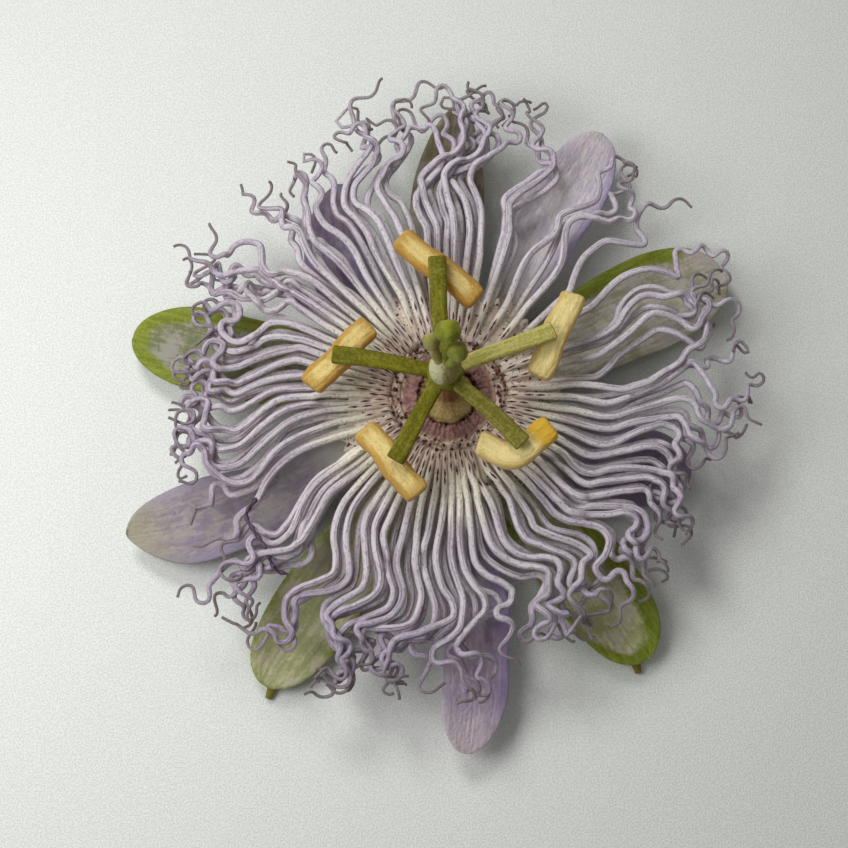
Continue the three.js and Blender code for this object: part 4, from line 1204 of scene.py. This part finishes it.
def lid_finish():
    finish = Finish("lid_membrane", {"Specular IOR Level": 0.25, "Subsurface Weight": 0.15})
    pleat, _, _ = finish.parts(finish.trait())
    radius = finish.radius()
    mottle = finish.mottle(1.3, 4.0)
    fine = finish.mottle(4.0, 3.0)
    streak = finish.rise(0.05 * pleat + 0.6 * mottle + 0.4 * fine, 0.44, 0.62)
    folded = finish.blend(streak, LID_ROSE, LID_MAUVE)
    paler = finish.blend(finish.rise(radius + 0.8 * mottle, 5.15, 5.7), folded, LID_CREAM)
    lip = 1.0 - finish.rise(radius + 0.5 * mottle, 3.66, 3.84)
    color = finish.blend(lip, paler, LID_LIP)
    return finish.finish(color, roughness=0.45 + 0.2 * mottle, height=0.5 * mottle + fine, depth=0.16)


def lid():
    rng = random.Random(31)
    waves = [(rng.randint(14, 52), rng.uniform(0, 6), rng.uniform(0.3, 1.0)) for _ in range(7)]
    total = sum(size for _, _, size in waves)

    def crinkle(turn):
        return sum(size * np.sin(count * turn + phase) for count, phase, size in waves) / total * 2

    def shaped(turn, corner):
        up = LID_FOLDS[corner] * np.cos(LID_PLEATS * turn) + LID_CRINKLES[corner] * crinkle(turn)
        return 0.9 * LID_CRINKLES[corner] * crinkle(turn + 1.0), up

    skin = Skin()
    points, faces = hoop_shell(LID_PROFILE, LID_SEGMENTS, shaped)
    pleat = np.tile(0.5 - 0.5 * np.cos(LID_PLEATS * round_turn(LID_SEGMENTS)), len(LID_PROFILE))
    skin.add(points, faces, np.stack([pleat, 0 * pleat, 0 * pleat], 1))
    seat(skin.piece("lid_membrane", lid_finish()), "operculum")


lid()


# Column and stamens. A stalk rises through the middle from a domed disc that fills the cup's
# mouth, and its head spreads into five flat olive green straps with blunt, cut-off ends. Under
# each strap's end a thin point carries the anther.
COLUMN_LEAN = (-0.42, 0.3)
HUB_HEIGHT = 14.9
COLUMN_SIDES = 64
COLUMN_RINGS = 90
# height and radius from the foot to the head
COLUMN_STATIONS = [
    (2.9, 1.5), (4.5, 2.0), (5.6, 3.1), (6.05, 3.25), (6.4, 3.0), (6.8, 1.9), (7.2, 1.3),
    (8.0, 1.05), (13.0, 1.0), (14.2, 1.3), (14.7, 1.95), (15.4, 1.95), (15.7, 1.4),
]
STRAP_TIPS = [(-1.24, 13.5), (-12.5, 2.4), (-5.75, -9.35), (7.9, -7.5), (11.3, 5.15)]
# how much painted light each strap carries: the two on the right are painted paler, as lit, and the
# others darker, as in shade
STRAP_PAINTED_LIGHT = (0.05, 0.0, 0.0, 0.25, 1.1)
STRAP_TIP_HEIGHT = 14.6
STRAP_WIDTHS = (1.55, 2.05)
STRAP_THICKNESS = 0.9
# each strap reads its own stretch of the fibres, this far from the next strap's
STRAP_OFFSET = 4.0
STRAP_RISE = 0.25
STRAP_SWAY = 0.014
STRAP_RINGS = 60
STRAP_SIDES = 40
# the thin point that each anther hangs from: its share of the strap's length, radius, upper and
# lower end
HANGER_SHARE = 0.93
HANGER_RADIUS = 0.4
HANGER_SPAN = (14.4, 13.2)
HANGER_RINGS = 6
HANGER_SIDES = 16
COLUMN_GREEN = paint(92, 94, 10)
COLUMN_LEAF = paint(126, 126, 34)
STRAP_SHADE = paint(112, 110, 10)
STRAP_DEEP = paint(86, 84, 4)
STRAP_LIGHT = paint(204, 196, 118)
STRAP_MOSS = paint(172, 164, 82)
DISC_TAN = paint(166, 144, 96)
DISC_OLIVE = paint(134, 114, 66)
DISC_MAROON = paint(140, 84, 72)


def column_finish():
    """The trait is the place across and along a strap and one more than the strap's painted light; on
    the column it is the angle's share."""
    finish = Finish("column_flesh", {"Specular IOR Level": 0.2, "Subsurface Weight": 0.04})
    _, along, strap = finish.parts(finish.trait())
    _, north, height = finish.parts(finish.place())
    radius = finish.radius()
    mottle = finish.mottle(0.9, 4.0)
    down = finish.mottle(3.6, 3.0)
    fibres = finish.noise(finish.trait((2.2, 2.5, 1)), 1.0, 3.0)
    fleck = finish.rise(0.5 * fibres + 0.5 * down, 0.42, 0.60)
    shade = finish.blend(fleck, STRAP_DEEP, STRAP_SHADE)
    light = finish.blend(fleck, STRAP_MOSS, STRAP_LIGHT)
    # painted light and shade: each strap's painted light runs it from the shaded colours to the lit ones
    green = finish.blend(strap - 1.25 + 0.5 * mottle, shade, light)
    column = finish.blend(finish.rise(mottle, 0.3, 0.7), COLUMN_GREEN, COLUMN_LEAF)
    # darker at each strap's cut end, and painted shade on its foot round the ovary's base
    dark_end_and_foot_shade = finish.rise(along, 0.985, 1.0) + finish.rise(along, 0.16, 0.08)
    strapped = finish.blend(dark_end_and_foot_shade * 0.7, green, STRAP_DEEP)
    flesh = finish.blend(strap, column, strapped)
    rays = finish.noise(finish.trait((60.0, 0.5, 1)), 1.0, 2.0)
    disc = finish.blend(finish.rise(0.4 * rays + 0.6 * down, 0.40, 0.62), DISC_TAN, DISC_OLIVE)
    spot = finish.rise(radius + 0.5 * north + 1.6 * mottle, 1.9, 0.7)
    flushed = finish.blend(spot * 0.8, disc, DISC_MAROON)
    color = finish.blend(finish.rise(height + 2.0 * mottle, 13.5, 10.0), flesh, flushed)
    relief = 0.6 * fibres * strap + 0.5 * down
    return finish.finish(color, roughness=0.6 + 0.2 * mottle, height=relief, depth=0.14)


def squared(wave, power):
    """A sine wave made fuller, so that a round section gets flatter sides."""
    return np.sign(wave) * np.abs(wave) ** power


def strap_corners(shares, sides):
    """Corners of a flat strap with rounded sides, a shallow groove, and a blunt end."""
    angle = round_turn(sides)
    wide = squared(np.cos(angle), 0.55)
    high = squared(np.sin(angle), 0.75)
    end = np.clip((shares - 0.965) / 0.035, 0, 1)
    blunt = (1 - end**4) ** 0.5 * 0.2 + 0.8
    width = 0.5 * np.interp(shares, (0, 1), STRAP_WIDTHS) * blunt
    groove = 1 - 0.10 * np.cos(0.5 * math.pi * wide) ** 2
    across = np.outer(width, wide)
    upward = np.outer(0.5 * STRAP_THICKNESS * blunt, high * groove)
    return np.stack([across, upward], -1)


def column():
    skin = Skin()
    profile = smooth_line(COLUMN_STATIONS, COLUMN_RINGS)
    turn = round_turn(COLUMN_SIDES)
    lean = np.array([*COLUMN_LEAN, 0.0])
    rings = []
    for height, radius in profile:
        ribbed = radius * (1 + 0.035 * np.cos(10 * turn))
        rings.append(polar(np.degrees(turn), ribbed, height) + lean * height / HUB_HEIGHT)
    poles = [lean * height / HUB_HEIGHT + (0, 0, height) for height in profile[[0, -1], 0]]
    share = np.tile(turn / (2 * math.pi), len(profile))
    share = np.abs(np.concatenate([share, [0, 0]]) - 0.5)
    skin.add(*closed_skin(rings, poles), np.stack([share, 0 * share, 0 * share], 1))

    shares = 1 - (1 - np.linspace(0, 1, STRAP_RINGS)) ** 1.6
    corners = strap_corners(shares, STRAP_SIDES)
    along = np.concatenate([np.repeat(shares, STRAP_SIDES), [0, 1]])
    hanger = oval_corners(*np.full((2, HANGER_RINGS), HANGER_RADIUS), HANGER_SIDES)
    start = lean + (0, 0, HUB_HEIGHT)
    for number, tip in enumerate(STRAP_TIPS):
        reach = (*tip, STRAP_TIP_HEIGHT) - start
        path = start + shares[:, None] * reach
        sway = STRAP_SWAY * np.sin(3.0 * shares + 2 * number) * np.sin(math.pi * shares)
        path += sway[:, None] * (-reach[1], reach[0], 0)
        path[:, 2] += STRAP_RISE * np.sin(math.pi * shares)
        across = np.concatenate([corners[..., 0].ravel(), [0, 0]]) + STRAP_OFFSET * number
        strap = 1 + STRAP_PAINTED_LIGHT[number]
        skin.add(*loft_shell(path, corners), np.stack([across, along, 0 * along + strap], 1))
        spot = HANGER_SHARE * np.array(tip)
        path = np.linspace((*spot, HANGER_SPAN[0]), (*spot, HANGER_SPAN[1]), HANGER_RINGS)
        points, faces = loft_shell(path, hanger, (0, 1, 0))
        skin.add(points, faces, np.tile((STRAP_OFFSET * number, 0.5, strap), (len(points), 1)))
    seat(skin.piece("column_and_straps", column_finish()), "stamen_column")


column()


# Anthers. Five golden pollen sacs, each slung by its middle on a thin point under the end of a
# strap: two long lobes side by side, with a paler seam between them and worn, fibrous, blunt ends.
ANTHERS = [
    [(-5.4, 16.4, 12.5), (-1.1, 12.85, 12.9), (3.25, 9.25, 12.5)],
    [(-8.5, 6.3, 12.5), (-11.7, 2.8, 12.9), (-15.0, -0.7, 12.5)],
    [(-9.1, -5.3, 12.5), (-6.2, -9.0, 12.9), (-3.25, -12.7, 12.5)],
    [(3.1, -7.0, 12.7), (7.3, -8.2, 12.9), (11.0, -5.1, 13.2)],
    [(13.7, 9.9, 12.5), (11.65, 5.2, 12.9), (9.6, 0.5, 12.5)],
]
# how much painted light each sac carries, the two on the right painted paler, as lit, and the others
# darker, as in shade, and how far its far end has turned orange
ANTHER_PAINTED_LIGHT = (0.0, 0.1, 0.2, 1.0, 0.85)
ANTHER_RIPENESS = (0.0, 0.0, 0.0, 0.9, 0.0)
ANTHER_WIDTH = 3.0
ANTHER_THICKNESS = 1.8
ANTHER_LINE = 200
ANTHER_RINGS = 90
ANTHER_SIDES = 48
POLLEN_GOLD = paint(190, 150, 76)
POLLEN_CREAM = paint(250, 228, 158)
POLLEN_BROWN = paint(174, 124, 46)
POLLEN_ORANGE = paint(216, 164, 30)


def anther_finish(name, pale, ripe):
    """The trait is the place across the sac, the share of its length and the place up its side."""
    finish = Finish(name, {"Specular IOR Level": 0.15, "Sheen Weight": 0.15, "Subsurface Weight": 0.12})
    across, along, _ = finish.parts(finish.trait())
    grain = finish.noise(finish.trait((2.6, 7.0, 1)), 1.0, 4.0, 0.6)
    dust = finish.mottle(3.2, 4.0)
    spread = abs(across)
    end = abs(along - 0.5) * 2.0
    seam = finish.rise(spread + 1.1 * grain, 1.50, 0.90) * finish.rise(end + 0.4 * grain, 1.10, 0.85)
    # pale is the sac's painted light: it lifts the cream and thins the brown, as if the sac were more lit
    body = finish.blend(seam * (0.55 - 0.35 * pale) + 0.8 * pale, POLLEN_GOLD, POLLEN_CREAM)
    dusted = finish.blend(finish.rise(dust, 0.50, 0.70) * (0.35 - 0.15 * pale), body, POLLEN_BROWN)
    edge = finish.rise(spread + 0.9 * grain, 1.20, 1.55)
    worn = edge.math("MAXIMUM", edge, finish.rise(end + 0.35 * dust, 1.08, 1.20))
    browned = finish.blend(worn * (0.7 - 0.3 * pale), dusted, POLLEN_BROWN)
    turned = finish.rise(along + 0.15 * grain, 0.74, 0.88) * ripe
    color = finish.blend(turned, browned, POLLEN_ORANGE)
    height = grain + 0.4 * dust
    return finish.finish(color, roughness=0.75 + 0.15 * dust, height=height, depth=0.2)


def anther(number, places):
    rng = random.Random(400 + number)
    shares = 0.5 - 0.5 * np.cos(math.pi * np.linspace(0, 1, ANTHER_RINGS))
    even = np.linspace(0, 1, ANTHER_LINE)
    path = np.stack([np.interp(shares, even, axis) for axis in smooth_line(places, ANTHER_LINE).T], 1)
    path[:, :2] += (0.12 * np.sin(9 * shares + rng.uniform(0, 6)))[:, None] * sideways_of(path)
    blunt = np.maximum(1 - np.abs(2 * shares - 1) ** 26, 0.0) ** 0.4
    swell = (0.96 + 0.04 * np.sin(math.pi * shares)) * (0.25 + 0.75 * blunt)
    swell = swell * (1 + 0.03 * np.sin(14 * shares + rng.uniform(0, 6)))
    angle = round_turn(ANTHER_SIDES)
    wide = squared(np.cos(angle), 0.6)
    seam = 0.16 * np.exp(-((wide / 0.16) ** 2)) + 0.08 * np.exp(-(((np.abs(wide) - 0.62) / 0.1) ** 2))
    high = squared(np.sin(angle), 0.6) * (1 - seam)
    frayed = 1 + 0.02 * np.sin(31 * shares[:, None] + number) * np.sin(3 * angle + number)
    across = 0.5 * ANTHER_WIDTH * swell[:, None] * wide * frayed
    upward = 0.5 * ANTHER_THICKNESS * swell[:, None] * high * frayed
    trait = np.stack(np.broadcast_arrays(wide * 1.35, shares[:, None], np.sin(angle)), -1).reshape(-1, 3)
    trait = np.vstack([trait, [(0, 0, 0), (0, 1, 0)]])
    skin = Skin()
    skin.add(*loft_shell(path, np.stack([across, upward], -1)), trait)
    name = f"anther_{number + 1}"
    material = anther_finish(name, ANTHER_PAINTED_LIGHT[number], ANTHER_RIPENESS[number])
    seat(skin.piece(name + "_sac", material), name)


for number, places in enumerate(ANTHERS):
    anther(number, places)


# Ovary. A small fleshy egg, pale green with three shallow upright lobes, grown from the head of
# the column.
OVARY_CENTRE = (-0.5, -0.2, 0.0)
# height and radius from its foot to its top
OVARY_STATIONS = [
    (15.4, 0.7), (15.8, 1.0), (16.2, 1.3), (16.9, 1.6), (18.1, 1.72), (19.2, 1.45), (19.75, 0.95),
    (20.1, 0.35),
]
OVARY_SIDES = 72
OVARY_PALE = paint(192, 186, 148)
OVARY_SHADED_GREEN = paint(118, 112, 56)


def ovary_finish():
    finish = Finish("ovary_flesh", {"Specular IOR Level": 0.3, "Subsurface Weight": 0.15})
    east, _, height = finish.parts(finish.place())
    mottle = finish.mottle(1.8, 3.0, (1, 1, 0.5))
    ribs = finish.mottle(3.4, 3.0, (1, 1, 0.2))
    # painted shade: the right side and the foot of the egg are painted darker green, as in shade
    shaded = finish.rise(east + 0.6 * mottle + 0.9 * ribs, -0.3, 0.5)
    body = finish.blend(shaded * 0.9, OVARY_PALE, OVARY_SHADED_GREEN)
    color = finish.blend(finish.rise(height, 17.6, 16.3), body, OVARY_SHADED_GREEN)
    return finish.finish(color, roughness=0.6 + 0.15 * mottle, height=ribs + 0.4 * mottle, depth=0.3)


def ovary():
    profile = smooth_line(OVARY_STATIONS, 48)
    turn = round_turn(OVARY_SIDES)
    lobe = 0.5 - 0.5 * np.cos(3 * turn)
    rings = []
    for height, radius in profile:
        lobed = radius * (1.0 - 0.05 * lobe * min(radius, 1.0))
        rings.append(polar(np.degrees(turn), lobed, height) + OVARY_CENTRE)
    poles = [np.add(OVARY_CENTRE, (0, 0, height)) for height in profile[[0, -1], 0]]
    skin = Skin()
    skin.add(*closed_skin(rings, poles))
    seat(skin.piece("ovary_body", ovary_finish()), "ovary")


ovary()


# Styles. Three short bent fleshy stalks grown from the top of the ovary, each ending in a soft
# rounded stigma.
STYLE_RADIUS = 0.55
STYLE_RINGS = 24
STYLE_SIDES = 20
STIGMA_RINGS = 40
STIGMA_SIDES = 48
# foot, bend and knob, and the knob's half width and half height
STYLES = [
    ((-0.9, 0.0, 19.4), (-1.5, 0.6, 20.9), (-1.9, 1.5, 22.0), (0.95, 1.25)),
    ((-0.45, 0.1, 19.6), (-0.25, 1.0, 22.0), (-0.15, 1.85, 24.3), (1.35, 1.15)),
    ((-0.15, -0.3, 19.4), (0.45, -0.1, 20.9), (0.85, 0.45, 21.9), (1.1, 1.15)),
]
STIGMA_COLOURS = [
    (paint(128, 124, 56), paint(156, 148, 90)),
    (paint(98, 104, 8), paint(130, 136, 32)),
    (paint(108, 112, 26), paint(140, 140, 60)),
]


def stigma_finish(name, deep, pale):
    finish = Finish(name, {"Specular IOR Level": 0.2, "Subsurface Weight": 0.08, "Sheen Weight": 0.1})
    mottle = finish.mottle(0.9, 4.0)
    fine = finish.mottle(6.0, 3.0)
    color = finish.blend(finish.rise(mottle, 0.35, 0.65), deep, pale)
    return finish.finish(color, roughness=0.5 + 0.2 * fine, height=fine, depth=0.1)


def style(number, foot, bend, knob, size):
    phase = random.Random(500 + number).uniform(0, 6)
    skin = Skin()
    path = smooth_line([foot, bend, knob], STYLE_RINGS)
    radii = STYLE_RADIUS * (1 + 0.25 * np.linspace(0, 1, STYLE_RINGS) ** 3)
    skin.add(*loft_shell(path, oval_corners(radii, radii, STYLE_SIDES), (0, 1, 0)))
    turn = round_turn(STIGMA_SIDES)
    rings = []
    for share in np.linspace(0, 1, STIGMA_RINGS + 2)[1:-1]:
        tilt = math.pi * (share - 0.5)
        lumps = 1 + 0.05 * np.cos(3 * turn + phase) * math.cos(tilt) + 0.03 * np.sin(5 * turn - phase)
        radius = size[0] * math.cos(tilt) ** 0.85 * lumps
        rings.append(polar(np.degrees(turn), radius, size[1] * math.sin(tilt)) + knob)
    skin.add(*closed_skin(rings, np.add(knob, [(0, 0, -size[1]), (0, 0, size[1])])))
    name = f"style_{number + 1}"
    material = stigma_finish(name, *STIGMA_COLOURS[number])
    seat(skin.piece(name + "_stigma", material), name)


for number, parts in enumerate(STYLES):
    style(number, *parts)
